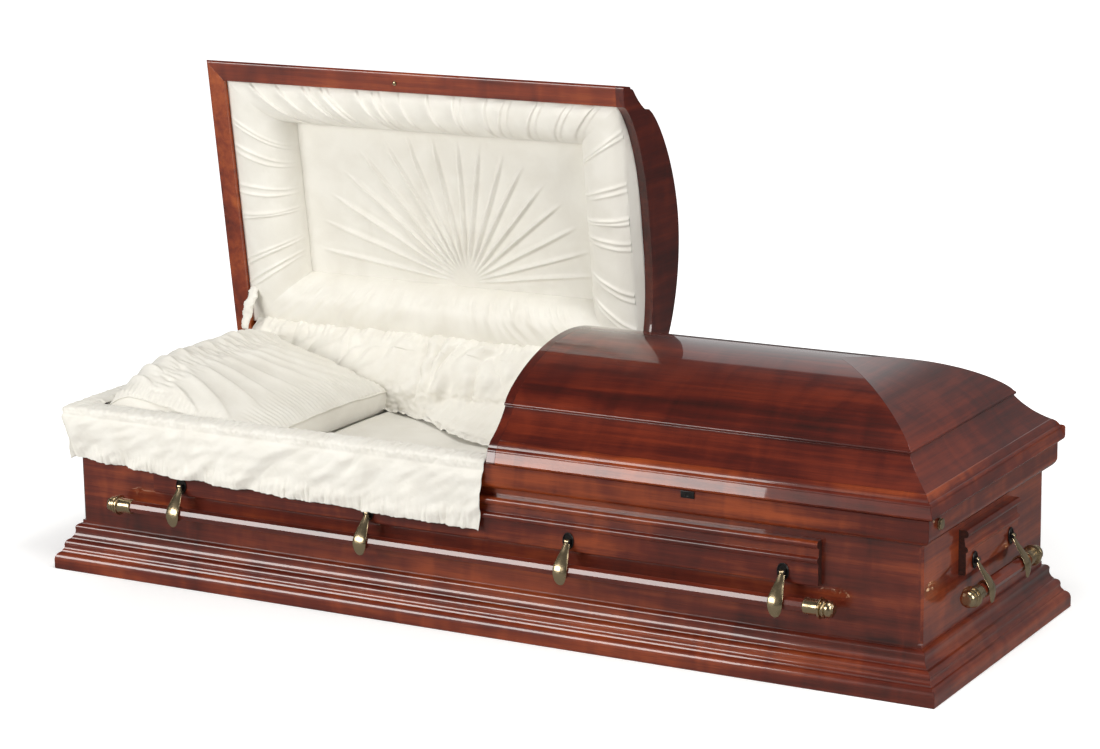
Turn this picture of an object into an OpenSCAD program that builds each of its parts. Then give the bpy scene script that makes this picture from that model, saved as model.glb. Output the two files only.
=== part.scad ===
/* [Overall] */
// Length of the base moulding, head to foot
base_l = 2108; // [1900:1:2300]
// Width of the base moulding, front to back
base_w = 732; // [640:1:800]
// Place of the split between the two lids, from the middle
split_x = 58; // [-150:1:150]
// Gap between the two lids
split_gap = 3; // [2:0.5:6]

/* [Body] */
// Set-back of the body's outer face from the base moulding's edge
face_inset = 48; // [40:1:60]
// Thickness of the body boards
board_t = 19; // [14:1:24]
// Height of the body boards
board_h = 328; // [280:1:360]
// Thickness of the bottom board
bottom_t = 16; // [12:1:20]
// Size of the stopped corner chamfer
chamfer = 9; // [5:1:12]

/* [Base moulding] */
// Height of the base moulding
base_h = 99; // [85:1:115]
// Height of its upright plinth
plinth_h = 20; // [14:1:26]

/* [Top rail] */
// Set-back of the rail's outer face from the base moulding's edge
rail_inset = 26; // [22:1:34]
// Height of the rail's top face
rail_top = 363.5; // [340:0.5:390]
// Height at which the cove under the rail meets the body
rail_cove_z = 308; // [296:1:318]

/* [Lids] */
// Set-back of the lid's nose from the base moulding's edge
nose_inset = 14.4; // [10:0.2:20]
// Height of the lid's underside when closed
lid_z = 364.5; // [341:0.5:391]
// Width of the lid's rim board
rim_w = 46; // [40:1:55]
// Set-back and height of the groove above the nose
groove = [38, 412.3]; // [30:1:450]
// Set-back and height of the top of the cove
cove_end = [97, 469.4]; // [60:1:520]
// Height of the crown's foot above the bead
crown_z = 478.6; // [470:0.1:500]
// Rise of the crown from its foot to its top
crown_rise = 98; // [70:1:120]
// Thickness of the lid's shell
shell_t = 18; // [14:1:22]
// Thickness of the arched board at a lid's cut end
header_t = 20; // [15:1:26]
// Rise of the arch in that board
arch_rise = 78; // [60:1:82]
// Angle that an open lid stands back from closed
open_angle = 83; // [75:1:90]

/* [Lid hinges] */
// Place of the hinge axis, out from the rail's outer face
hinge_out = 6; // [5.5:0.1:7]
// Radius of the hinge knuckles
knuckle_r = 5; // [4:0.1:5]
// Radius of the hinge pin
pin_r = 2; // [1.5:0.1:2.5]
// Number of knuckles in each lid's hinge
knuckles = 9; // [5:2:15]

/* [Applied panels] */
// Length of the front and back panels
long_panel = 1590; // [1400:1:1700]
// Length of the end panels
short_panel = 276; // [240:1:340]
// Heights of an applied panel's lower and upper edges
panel_z = [200, 292]; // [150:1:300]
// Greatest thickness of an applied panel, at its top ridge
panel_t = 21; // [16:1:24]

/* [Handles] */
// Distance between the arms of the front and back handles
long_pitch = 480; // [400:1:520]
// Distance between the arms of the end handles
short_pitch = 190; // [160:1:220]
// Half length of the front and back bars
long_bar = 871; // [800:1:900]
// Half length of the end bars
short_bar = 188; // [150:1:230]
// How far the front bar sits off its middle
bar_shift = 30; // [0:1:40]
// Distance of the arms' pivot from the body's face
pivot_out = 22; // [22:1:30]
// Height of the arms' pivot
pivot_z = 222; // [212:1:230]
// Distance of the bar's axis from the body's face
bar_out = 38; // [38:1:46]
// Height of the bar's axis
bar_z = 166; // [155:1:180]
// Radius of the wooden bar
bar_r = 14; // [9:0.5:14]
// Greatest radius of the bar's end caps
cap_r = 22; // [18:0.5:22]
// Length of an end cap
cap_l = 64; // [50:1:80]

/* [Interior] */
// Thickness of the padded lining on the body's sides
lining_t = 28; // [20:1:40]
// Height of the top of the bed
bed_z = 268; // [220:1:300]
// Length of the pillow, along the casket
pillow_l = 400; // [350:1:500]
// Width of the pillow, across the casket
pillow_w = 528; // [450:1:530]
// Width of the padded rolls inside the head lid
roll_w = 122; // [90:1:150]
// Depth of the lid's inner panel behind the lid's underside
recess = 78; // [60:1:82]
// Height of the lower hem of the cloth over the rail
hem_z = 230; // [215:1:260]

/* [Hidden] */
$fn = 48;
half_l = base_l / 2;
half_w = base_w / 2;
body_in = face_inset + board_t;
mitre = 150;
hinge_y = half_w - rail_inset + hinge_out;
hinge_z = (rail_top + lid_z) / 2;
rim_in = nose_inset + rim_w;
crown_top = crown_z + crown_rise;
lining_in = body_in + lining_t;
arc_n = 10;
crown_n = 18;
wood = [0.42, 0.16, 0.10];
dark_wood = [0.34, 0.12, 0.08];
brass = [0.72, 0.62, 0.42];
satin = [0.95, 0.93, 0.88];

// Points of a quarter of an ellipse from angle a to angle b, each given as [inset, height].
function quarter(c, rx, rz, a, b, n = arc_n) =
    [for (k = [0:n]) let (t = a + (b - a) * k / n) [c[0] + rx * cos(t), c[1] + rz * sin(t)]];
// Points of a shallow arc between p and q that sinks by sag to the right of its chord.
function bow(p, q, sag, n = arc_n) =
    let (d = q - p, side = [d[1], -d[0]] / norm(d))
    [for (k = [0:n]) let (s = k / n) p + d * s + side * sag * 4 * s * (1 - s)];
// Height of a crown surface at u, from 0 in the middle to 1 at its foot.
function crown(u) = pow(max(0, 1 - pow(u, 1.9)), 0.8);

// Outer outline of the lid above its nose, from the groove over the crown to the middle line.
lid_outline = concat(
    bow(groove, cove_end, 4.4),
    quarter([cove_end[0] + 1.5, (cove_end[1] + crown_z) / 2], 5.5, (crown_z - cove_end[1]) / 2, 250, 110, 6),
    [for (k = [1:crown_n]) let (u = 1 - pow(k / crown_n, 1.4))
        [half_w - (half_w - cove_end[0]) * u, crown_z + crown_rise * crown(u)]]);
// Inner outline of the lid's shell, one shell thickness below it.
shell_outline = let (foot = cove_end[0] + shell_t - 3) concat(
    [[rim_in, groove[1]]],
    [for (k = [0:crown_n]) let (u = 1 - pow(k / crown_n, 1.4))
        [half_w - (half_w - foot) * u, crown_z - shell_t - 4 + (crown_rise + 4) * crown(u)]]);
// An outline and its mirror image over the middle line, closed at height z.
function both_sides(p) = concat(p, [for (k = [len(p) - 1:-1:0]) [base_w - p[k][0], p[k][1]]]);

base_profile = concat(
    [[face_inset, 0], [0, 0], [0, plinth_h]],
    quarter([14, plinth_h], 14, 18, 180, 100),
    bow([12.5, 41], [16.5, 54], 2.2, 5),
    quarter([29, 54], 12, 12, 180, 95, 6),
    bow([28.5, 68], [35, 90], 3, 6),
    quarter([face_inset - 2, 90], 11, base_h - 90, 180, 90, 6),
    [[face_inset, base_h]]);
rail_profile = concat(
    [[body_in, rail_top], [rail_inset + 1.5, rail_top], [rail_inset, rail_top - 2]],
    [[rail_inset, board_h]],
    [for (k = [1:arc_n]) let (t = 90 * k / arc_n)
        [face_inset - (face_inset - rail_inset) * cos(t), board_h - (board_h - rail_cove_z) * sin(t)]],
    [[face_inset, board_h], [body_in, board_h]]);
rim_profile = concat(
    [[rim_in, groove[1]], [rim_in, lid_z], [nose_inset + 9.6, lid_z], [nose_inset + 3, lid_z + 2.5]],
    [[nose_inset, lid_z + 8.5], [nose_inset, lid_z + 26]],
    quarter([nose_inset + 8, lid_z + 26], 8, 7, 180, 90, 6),
    bow([nose_inset + 9, lid_z + 33], groove, -2, 5));
panel_profile = let (h = panel_z[1], lo = panel_z[0]) concat(
    [[0, lo], [panel_t - 6, lo], [panel_t - 5, lo + 3], [panel_t - 5, h - 46]],
    [for (a = [-90:30:90]) [panel_t - 5 + 4 * cos(a), h - 40 + 6 * sin(a)]],
    [[panel_t - 7, h - 32]],
    [for (a = [0:30:90]) [panel_t - 7 - 2 * sin(a), h - 30 + 14 * sin(a)]],
    [for (a = [-60:30:90]) [panel_t - 7 + 7 * cos(a), h - 8 + 8 * sin(a)]],
    [[0, h]]);
roll_profile = [
    [rim_in + 1, lid_z + 3], [rim_in + 1, groove[1] - 5], [rim_in + 42, lid_z + recess],
    [rim_in + roll_w, lid_z + recess], [rim_in + roll_w, lid_z + recess - 10],
    [rim_in + roll_w - 30, lid_z + 34], [rim_in + 70, lid_z + 8], [rim_in + 40, lid_z + 2],
];

// A profile of [inset, height] run along the front, with mitred ends.
module run_front(profile, x0 = -half_l, x1 = half_l) {
    intersection() {
        translate([x0, -half_w, 0]) rotate([90, 0, 90]) linear_extrude(x1 - x0) polygon(profile);
        linear_extrude(crown_top) polygon([
            [-half_l, -half_w], [half_l, -half_w],
            [half_l - mitre, mitre - half_w], [mitre - half_l, mitre - half_w]]);
    }
}
// The same profile run along the head end.
module run_head(profile) {
    intersection() {
        translate([-half_l, half_w, 0]) rotate([90, 0, 0]) linear_extrude(base_w) polygon(profile);
        linear_extrude(crown_top) polygon([
            [-half_l, -half_w], [-half_l, half_w],
            [mitre - half_l, half_w - mitre], [mitre - half_l, mitre - half_w]]);
    }
}
module run_back(profile, x0 = -half_l, x1 = half_l) { mirror([0, 1, 0]) run_front(profile, x0, x1); }
module run_foot(profile) { mirror([1, 0, 0]) run_head(profile); }

// Place, radius and height of the stud under the head lid, which drops into a hole in the front rail.
stud_at = [-525, nose_inset + 25 - half_w];
stud_r = 5;
stud_h = 4;

// The body.
module bottom_board() {
    color(wood) translate([body_in - half_l, body_in - half_w, 0])
        cube([base_l - 2 * body_in, base_w - 2 * body_in, bottom_t]);
}
board_profile = [[face_inset, 0], [body_in, 0], [body_in, board_h], [face_inset, board_h]];
module corner_cuts() {
    for (sx = [-1, 1], sy = [-1, 1])
        translate([sx * (half_l - face_inset), sy * (half_w - face_inset), base_h + 8])
            rotate([0, 0, 45]) translate([-chamfer / sqrt(2), -chamfer / sqrt(2), 0])
                cube([chamfer * sqrt(2), chamfer * sqrt(2), rail_cove_z - base_h - 12]);
}
module side_front() { color(wood) difference() { run_front(board_profile); corner_cuts(); } }
module side_back() { color(wood) difference() { run_back(board_profile); corner_cuts(); } }
module end_head() { color(wood) difference() { run_head(board_profile); corner_cuts(); } }
module end_foot() { color(wood) difference() { run_foot(board_profile); corner_cuts(); } }
module base_front() { color(wood) run_front(base_profile); }
module base_back() { color(wood) run_back(base_profile); }
module base_head() { color(wood) run_head(base_profile); }
module base_foot() { color(wood) run_foot(base_profile); }
module rail_front() {
    color(wood) difference() {
        run_front(rail_profile);
        translate([stud_at[0], stud_at[1], rail_top - stud_h - 1]) cylinder(r = stud_r + 1, h = stud_h + 2);
    }
}
module rail_back() { color(wood) run_back(rail_profile); }
module rail_head() { color(wood) run_head(rail_profile); }
module rail_foot() { color(wood) difference() { run_foot(rail_profile); tube_bore(); } }

// An applied panel of the given length on the front face, centred on x = 0.
module applied_panel(length, face) {
    color(wood) translate([-length / 2, -face, 0]) mirror([0, 1, 0]) rotate([90, 0, 90])
        linear_extrude(length) polygon(panel_profile);
}
module panel_front() { applied_panel(long_panel, half_w - face_inset); }
module panel_back() { mirror([0, 1, 0]) applied_panel(long_panel, half_w - face_inset); }
module panel_foot() { rotate([0, 0, 90]) applied_panel(short_panel, half_l - face_inset); }
module panel_head() { mirror([1, 0, 0]) rotate([0, 0, 90]) applied_panel(short_panel, half_l - face_inset); }

// The turned brass cap in the foot end of the rail.
tube_y = 76 - half_w;
tube_z = 346;
module tube_bore() { translate([half_l - rail_inset - 14, tube_y, tube_z]) rotate([0, 90, 0]) cylinder(r = 7, h = 40); }
module tube_cap() {
    color(brass) translate([half_l - rail_inset - 14, tube_y, tube_z]) rotate([0, 90, 0]) {
        cylinder(r = 7, h = 22);
        translate([0, 0, 14]) cylinder(r = 11.5, h = 3);
        translate([0, 0, 18]) cylinder(r = 11.5, h = 4);
    }
}
// The small latch plate on the front of the rail.
module lid_catch() {
    color([0.08, 0.07, 0.07]) translate([500, rail_inset - half_w - 3, rail_top - 17]) cube([30, 3, 15]);
}

// A closed ring of soft lining on the body's inner sides.
module body_lining() {
    color(satin) translate([0, 0, bottom_t + 0.5]) linear_extrude(rail_top - bottom_t - 4)
        difference() {
            square([base_l - 2 * body_in - 1, base_w - 2 * body_in - 1], center = true);
            square([base_l - 2 * lining_in, base_w - 2 * lining_in], center = true);
        }
}
bed = [base_l - 2 * lining_in - 2, base_w - 2 * lining_in - 2, bed_z - bottom_t - 1];
module mattress() {
    color(satin) translate([-bed[0] / 2, -bed[1] / 2, bottom_t + 0.5]) cube(bed);
}
overlay_t = 8;
module overlay() {
    gap = pillow_l + 8;
    color(satin) translate([gap - bed[0] / 2, -bed[1] / 2, bed_z]) cube([bed[0] - gap, bed[1], overlay_t]);
}
// The wedge-shaped pillow, higher toward the head end.
module pillow() {
    color(satin) translate([-bed[0] / 2 + 2, pillow_w / 2, bed_z + 0.5]) rotate([90, 0, 0]) linear_extrude(pillow_w)
        polygon([
            [0, 30], [10, 150], [50, 182], [110, 174], [pillow_l / 2, 145], [0.75 * pillow_l, 100],
            [pillow_l - 25, 58], [pillow_l, 40], [pillow_l, 10], [pillow_l - 20, 0], [15, 0]]);
}
// The cloth that hangs over the front and head rails while the head lid is open.
cloth_t = 11;
cloth_gap = 1;
cloth_profile = let (out = rail_inset - cloth_gap) [
    [out, hem_z], [out - cloth_t, hem_z], [out - cloth_t, rail_top + cloth_t - 3],
    [out - cloth_t + 4, rail_top + cloth_gap + cloth_t], [body_in, rail_top + cloth_gap + cloth_t],
    [body_in, rail_top + cloth_gap], [out, rail_top + cloth_gap]];
module extendover() {
    color(satin) union() {
        run_front(cloth_profile, -half_l, split_x - split_gap - 6);
        difference() {
            run_head(cloth_profile);
            translate([-half_l, half_w - 70, 0]) cube([mitre, 70, 2 * rail_top]);
        }
    }
}

// Hinges: each lid has its own, with knuckles that alternate between the rail and the lid.
module hinge_knuckles(x0, x1, first) {
    pitch = (x1 - x0) / knuckles;
    for (k = [first:2:knuckles - 1])
        translate([x0 + k * pitch + 0.4, hinge_y, hinge_z]) rotate([0, 90, 0]) cylinder(r = knuckle_r, h = pitch - 0.8);
}
leaf_t = 1.5;
module body_leaf(x0, x1) {
    rail_face = half_w - rail_inset;
    color(brass) union() {
        hinge_knuckles(x0, x1, 0);
        translate([x0, hinge_y, hinge_z]) rotate([0, 90, 0]) cylinder(r = pin_r, h = x1 - x0);
        pitch = (x1 - x0) / knuckles;
        for (k = [0:2:knuckles - 1])
            translate([x0 + k * pitch + 0.4, rail_face, hinge_z - 14]) cube([pitch - 0.8, 3, 14]);
        translate([x0, rail_face, rail_top - 34]) cube([x1 - x0, leaf_t, 26]);
    }
}
// The lid's leaf, as it lies with the lid closed: it stands in a groove in the rim.
module lid_leaf(x0, x1) {
    pitch = (x1 - x0) / knuckles;
    color(brass) difference() {
        union() {
            hinge_knuckles(x0, x1, 1);
            for (k = [1:2:knuckles - 1])
                translate([x0 + k * pitch + 0.4, hinge_y - 2, hinge_z]) cube([pitch - 0.8, 3, 20]);
        }
        translate([x0 - 1, hinge_y, hinge_z]) rotate([0, 90, 0]) cylinder(r = pin_r + 0.4, h = x1 - x0 + 2);
    }
}
head_x = [-half_l + nose_inset + 40, split_x - 30];
foot_x = [split_x + 30, half_l - nose_inset - 40];
module head_hinge_body_leaf() { body_leaf(head_x[0], head_x[1]); }
module foot_hinge_body_leaf() { body_leaf(foot_x[0], foot_x[1]); }
module head_hinge_lid_leaf() { stand_open() lid_leaf(head_x[0], head_x[1]); }
module foot_hinge_lid_leaf() { lid_leaf(foot_x[0], foot_x[1]); }

// Swings a closed head lid up about its hinge axis.
module stand_open() {
    translate([0, hinge_y, hinge_z]) rotate([-open_angle, 0, 0]) translate([0, -hinge_y, -hinge_z]) children();
}
// Room in a back rim for the hinge's knuckles and leaf.
module hinge_room(x0, x1) {
    translate([x0 - 1, hinge_y, hinge_z]) rotate([0, 90, 0]) cylinder(r = knuckle_r + 0.8, h = x1 - x0 + 2);
    translate([x0 - 1, hinge_y - 2.3, hinge_z]) cube([x1 - x0 + 2, 3.6, 20.5]);
}
// A lid runs from its cut end to the foot end here; the head lid is the same, longer and mirrored.
module lid_rim_front(cut) { color(wood) run_front(rim_profile, cut + header_t); }
module lid_rim_end() { color(wood) run_foot(rim_profile); }
module lid_rim_back(cut, room) {
    color(wood) difference() {
        run_back(rim_profile, cut + header_t);
        hinge_room(room[0], room[1]);
    }
}
// A domed outline run along x from x0 and cut back by the same outline at the foot end.
module vault(outline, x0) {
    reach = half_l - x0 + 1;
    crest = outline[len(outline) - 1][1];
    intersection() {
        translate([x0, -half_w, 0]) rotate([90, 0, 90]) linear_extrude(half_l - x0) polygon(both_sides(outline));
        translate([half_l, half_w, 0]) mirror([1, 0, 0]) rotate([90, 0, 0]) linear_extrude(base_w)
            polygon(concat(outline, [[reach, crest], [reach, outline[0][1]]]));
    }
}
module lid_crown(cut) {
    color(dark_wood) difference() {
        vault(lid_outline, cut + header_t);
        vault(shell_outline, cut + header_t - 1);
    }
}
// Points of an arch over the middle line, that rises by the given height from the lid's underside.
function arch(rise) = [for (k = [-crown_n:crown_n]) let (u = k / crown_n)
    [half_w + (half_w - rim_in) * u, lid_z + rise * pow(1 - pow(abs(u), 2.6), 0.8)]];
// The arched board that closes a lid's cut end.
module lid_header(cut, room) {
    rim = [for (k = [1:len(rim_profile) - 2]) rim_profile[k]];
    foot = [[base_w - rim_in, lid_z - 1], [rim_in, lid_z - 1]];
    color(dark_wood) difference() {
        translate([cut, -half_w, 0]) rotate([90, 0, 90]) linear_extrude(header_t) difference() {
            polygon(both_sides(concat(rim, lid_outline)));
            polygon(concat(arch(arch_rise), foot));
        }
        hinge_room(room[0], room[1]);
    }
}
foot_cut = split_x + split_gap / 2;
head_cut = split_gap / 2 - split_x;
head_room = [-head_x[1], -head_x[0]];
module foot_rim_front() { lid_rim_front(foot_cut); }
module foot_rim_back() { lid_rim_back(foot_cut, foot_x); }
module foot_rim_end() { lid_rim_end(); }
module foot_crown() { lid_crown(foot_cut); }
module foot_header() { lid_header(foot_cut, foot_x); }
module head_lid() { stand_open() mirror([1, 0, 0]) children(); }
module head_rim_front() { head_lid() lid_rim_front(head_cut); }
module head_rim_back() { head_lid() lid_rim_back(head_cut, head_room); }
module head_rim_end() { head_lid() lid_rim_end(); }
module head_crown() { head_lid() lid_crown(head_cut); }
module head_header() { head_lid() lid_header(head_cut, head_room); }

// Soft ceilings of the lids.
ceiling_t = 8;
ceiling_in = rim_in + 60;
module ceiling(cut) {
    color(satin) translate([cut + header_t + 1, ceiling_in - half_w, lid_z + recess]) cube([
        half_l - ceiling_in - cut - header_t - 1, base_w - 2 * ceiling_in, ceiling_t]);
}
module foot_lining() { ceiling(foot_cut); }
module head_lining_panel() { head_lid() ceiling(head_cut); }
// The padded rolls that frame the head lid's panel, sewn as one ring.
module head_lining_rolls() {
    x0 = head_cut + header_t + 1;
    ring_in = rim_in + 42;
    head_lid() color(satin) union() {
        run_front(roll_profile, x0);
        run_back(roll_profile, x0);
        run_foot(roll_profile);
        translate([x0, -half_w, 0]) rotate([90, 0, 90]) linear_extrude(roll_w - header_t)
            polygon(concat(
                [[ring_in, lid_z + recess], [ring_in, lid_z + 8]],
                [for (p = arch(arch_rise - 38)) if (p[0] > ring_in && p[0] < base_w - ring_in) p],
                [[base_w - ring_in, lid_z + 8], [base_w - ring_in, lid_z + recess]]));
    }
}
// The small stud under the head lid's front rim.
module catch_stud() {
    color(brass) stand_open() translate([stud_at[0], stud_at[1], lid_z - stud_h]) cylinder(r = stud_r, h = stud_h);
}
// The cloth-covered strap that stays the open head lid, from its end rim down to the rail.
strap = [16, 9, 150];
strap_lean = 13;
module stay_strap() {
    color(satin) translate([nose_inset + 62 - half_l, hinge_y - 62, rail_top + 14]) rotate([-strap_lean, 0, 0])
        cube(strap);
}

// Handles, drawn about the arms' pivot, with the bar along x and outward along -y.
drop = [bar_out - pivot_out, bar_z - pivot_z];
module bar(half, shift) {
    s = cap_r / 17;
    cap = [[bar_r, 0], [12.6 * s, 1], [13.5 * s, 30], [12 * s, 33], [cap_r, 34], [cap_r, 38], [12 * s, 39],
        [12 * s, 42], [15 * s, 43], [15 * s, 47], [12 * s, 48], [14 * s, 51], [14 * s, 55], [8 * s, 61], [0, cap_l]];
    right = [for (p = cap) [p[0], half - cap_l + p[1]]];
    left = [for (k = [len(right) - 1:-1:0]) [right[k][0], -right[k][1]]];
    color(wood) translate([shift, -drop[0], drop[1]]) rotate([0, 90, 0]) rotate_extrude()
        polygon(concat(left, right));
}
arm_t = 7;
arm_l = 84;
// Middle line of an arm, as distance out from the pivot and height above it.
reach_out = drop[0] + bar_r + arm_t / 2 + 0.5;
arm_line = [[0, 0], [4.5, -8], [12, -20], [21, -32], [reach_out - 5, -44], [reach_out - 1, -54],
    [reach_out, -64], [reach_out - 1, -arm_l]];
function side_of(p, q) = let (d = q - p) [-d[1], d[0]] / norm(d);
module arm() {
    last = len(arm_line) - 1;
    shift = [for (k = [0:last]) side_of(arm_line[max(0, k - 1)], arm_line[min(last, k + 1)]) * arm_t / 2];
    band = concat([for (k = [0:last]) arm_line[k] + shift[k]], [for (k = [last:-1:0]) arm_line[k] - shift[k]]);
    edge = [for (k = [0:24]) let (t = k / 24, swell = min(1, max(0, (t - 0.1) / 0.62)), tip = max(0, (t - 0.72) / 0.28))
        [(4.5 + 11.8 * swell * swell * (3 - 2 * swell)) * sqrt(max(0.004, 1 - tip * tip)), 2 - (arm_l + 2) * t]];
    color(brass) union() {
        rotate([0, 90, 0]) cylinder(r = 5, h = 9, center = true);
        difference() {
            union() {
                intersection() {
                    translate([20, 0, 0]) rotate([90, 0, -90]) linear_extrude(40) polygon(band);
                    translate([0, 5, 0]) rotate([90, 0, 0]) linear_extrude(reach_out + 15)
                        polygon(concat([for (p = edge) [-p[0], p[1]]], [for (k = [len(edge) - 1:-1:0]) edge[k]]));
                }
                translate([-7, -drop[0], drop[1]]) rotate([0, 90, 0]) cylinder(r = bar_r + 2.5, h = 14);
            }
            translate([-20, -drop[0], drop[1]]) rotate([0, 90, 0]) cylinder(r = bar_r, h = 40);
        }
    }
}
module on_front() { translate([0, face_inset - half_w - pivot_out, pivot_z]) children(); }
module on_back() { mirror([0, 1, 0]) on_front() children(); }
module on_foot() { rotate([0, 0, 90]) translate([0, face_inset - half_l - pivot_out, pivot_z]) children(); }
module on_head() { mirror([1, 0, 0]) on_foot() children(); }
module long_arm(k) { translate([(k - 2.5) * long_pitch, 0, 0]) arm(); }
module short_arm(k) { translate([(k - 1.5) * short_pitch, 0, 0]) arm(); }
module bar_front() { on_front() bar(long_bar, -bar_shift); }
module bar_back() { on_back() bar(long_bar, -bar_shift); }
module bar_head() { on_head() bar(short_bar, 0); }
module bar_foot() { on_foot() bar(short_bar, 0); }

bottom_board();
base_front();
base_back();
base_head();
base_foot();
side_front();
side_back();
end_head();
end_foot();
rail_front();
rail_back();
rail_head();
rail_foot();
panel_front();
panel_back();
panel_head();
panel_foot();
tube_cap();
lid_catch();
body_lining();
mattress();
overlay();
pillow();
extendover();
head_hinge_body_leaf();
head_hinge_lid_leaf();
foot_hinge_body_leaf();
foot_hinge_lid_leaf();
head_rim_front();
head_rim_back();
head_rim_end();
head_crown();
head_header();
head_lining_rolls();
head_lining_panel();
catch_stud();
stay_strap();
foot_rim_front();
foot_rim_back();
foot_rim_end();
foot_crown();
foot_header();
foot_lining();
bar_front();
bar_back();
bar_head();
bar_foot();
on_front() long_arm(1);  // arm_front_1
on_front() long_arm(2);  // arm_front_2
on_front() long_arm(3);  // arm_front_3
on_front() long_arm(4);  // arm_front_4
on_back() long_arm(1);  // arm_back_1
on_back() long_arm(2);  // arm_back_2
on_back() long_arm(3);  // arm_back_3
on_back() long_arm(4);  // arm_back_4
on_head() short_arm(1);  // arm_head_1
on_head() short_arm(2);  // arm_head_2
on_foot() short_arm(1);  // arm_foot_1
on_foot() short_arm(2);  // arm_foot_2
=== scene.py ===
"""A two-lid hardwood casket with its head lid open: studio, joinery, fittings and soft furnishings."""

import logging
import math
import random
from dataclasses import dataclass
from enum import Enum
from typing import Callable, Iterable, Optional, Sequence

import bpy
from mathutils import Matrix, Vector, noise


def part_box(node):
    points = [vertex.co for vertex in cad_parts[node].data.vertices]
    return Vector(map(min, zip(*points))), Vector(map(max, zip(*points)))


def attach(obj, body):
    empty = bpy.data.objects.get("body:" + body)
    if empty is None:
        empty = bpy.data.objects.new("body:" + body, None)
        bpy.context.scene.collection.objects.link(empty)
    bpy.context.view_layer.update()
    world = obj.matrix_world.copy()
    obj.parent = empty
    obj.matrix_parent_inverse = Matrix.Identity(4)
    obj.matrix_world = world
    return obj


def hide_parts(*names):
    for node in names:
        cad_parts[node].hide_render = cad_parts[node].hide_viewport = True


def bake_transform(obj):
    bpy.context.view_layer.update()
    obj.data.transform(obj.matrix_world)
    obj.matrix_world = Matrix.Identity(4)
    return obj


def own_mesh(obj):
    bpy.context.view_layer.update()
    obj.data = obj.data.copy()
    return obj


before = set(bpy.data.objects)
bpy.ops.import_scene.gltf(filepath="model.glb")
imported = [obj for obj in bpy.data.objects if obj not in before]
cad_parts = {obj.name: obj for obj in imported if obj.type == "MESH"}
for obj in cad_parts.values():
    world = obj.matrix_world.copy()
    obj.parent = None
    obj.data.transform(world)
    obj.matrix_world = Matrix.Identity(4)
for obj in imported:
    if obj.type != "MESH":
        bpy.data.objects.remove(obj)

logging.basicConfig(level=logging.INFO, format="%(levelname)s %(name)s: %(message)s")
LOG = logging.getLogger("casket")

Pair = tuple[float, float]
Triple = tuple[float, float, float]
Colour = tuple[float, float, float]

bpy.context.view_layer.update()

# Sizes shared by the sub-assemblies, in metres.
HALF_L = 1.054
HALF_W = 0.366
FACE_IN = 0.048
BOARD_T = 0.019
BODY_IN = FACE_IN + BOARD_T
RAIL_IN = 0.026
RAIL_TOP = 0.3635
LID_Z = 0.3645
NOSE_IN = 0.0144
RIM_IN = NOSE_IN + 0.046
RECESS = 0.078
BED_Z = 0.268
HEADER_T = 0.020
FOOT_CUT = 0.0595
HEAD_CUT = -0.0565
HINGE = Vector((0.0, 0.346, 0.364))
OPEN_ANGLE = math.radians(83)


class Body(Enum):
    """The bodies of the model that a piece can ride on."""

    CASKET = "casket"
    HEAD_LID = "head_lid"
    FOOT_LID = "foot_lid"
    FRONT_HANDLE = "front_handle"
    BACK_HANDLE = "back_handle"
    HEAD_HANDLE = "head_handle"
    FOOT_HANDLE = "foot_handle"


class Slot(Enum):
    """The material slots of the record."""

    CHERRY = "lacquered_cherry"
    CROWN = "crown_cherry"
    BRASS = "antique_brass"
    BLACK = "black_metal"
    SATIN = "ivory_satin"


class Grain(Enum):
    """The direction that the grain of a piece of wood runs in, as a turn of the pattern."""

    ALONG = (0.0, 0.0, 0.0)
    ACROSS = (0.0, 0.0, math.pi / 2)


class Side(Enum):
    """A side of the casket: its outward and along directions and its handle's body."""

    FRONT = "front"
    BACK = "back"
    HEAD = "head"
    FOOT = "foot"

    @property
    def out(self) -> Vector:
        """The direction that faces away from the casket."""
        return {
            Side.FRONT: Vector((0, -1, 0)), Side.BACK: Vector((0, 1, 0)),
            Side.HEAD: Vector((-1, 0, 0)), Side.FOOT: Vector((1, 0, 0)),
        }[self]

    @property
    def along(self) -> Vector:
        """The direction that the side's mouldings run in."""
        return Vector((1, 0, 0)) if self in (Side.FRONT, Side.BACK) else Vector((0, 1, 0))

    @property
    def depth(self) -> float:
        """The distance from the middle to the base moulding's edge."""
        return HALF_W if self in (Side.FRONT, Side.BACK) else HALF_L

    @property
    def reach(self) -> float:
        """Half the length of the side."""
        return HALF_L if self in (Side.FRONT, Side.BACK) else HALF_W

    @property
    def handle(self) -> Body:
        """The body of the side's swinging handle."""
        return Body[f"{self.name}_HANDLE"]

    @property
    def grain(self) -> Grain:
        """The way the grain of the side's boards runs."""
        return Grain.ALONG if self in (Side.FRONT, Side.BACK) else Grain.ACROSS

    def spot(self, s: float, inset: float, z: float) -> Vector:
        """Find a place on the side.

        Args:
            s: Distance along the side from its middle.
            inset: Distance in from the base moulding's edge.
            z: Height above the ground.

        Returns:
            The place in the casket's frame.
        """
        return self.along * s + self.out * (self.depth - inset) + Vector((0, 0, z))


# ---------------------------------------------------------------- bench tools


def call(piece: bpy.types.Object, name: str) -> bpy.types.Object:
    """Give a piece and its mesh one name, and hand the piece on."""
    piece.name = piece.data.name = name
    return piece


def deselect() -> None:
    """Leave edit mode and select nothing, so that the next operator acts on new work only."""
    if bpy.context.mode != "OBJECT":
        bpy.ops.object.mode_set(mode="OBJECT")
    bpy.ops.object.select_all(action="DESELECT")


def take(piece: bpy.types.Object) -> None:
    """Select one piece alone and make it active."""
    deselect()
    piece.select_set(True)
    bpy.context.view_layer.objects.active = piece


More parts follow.
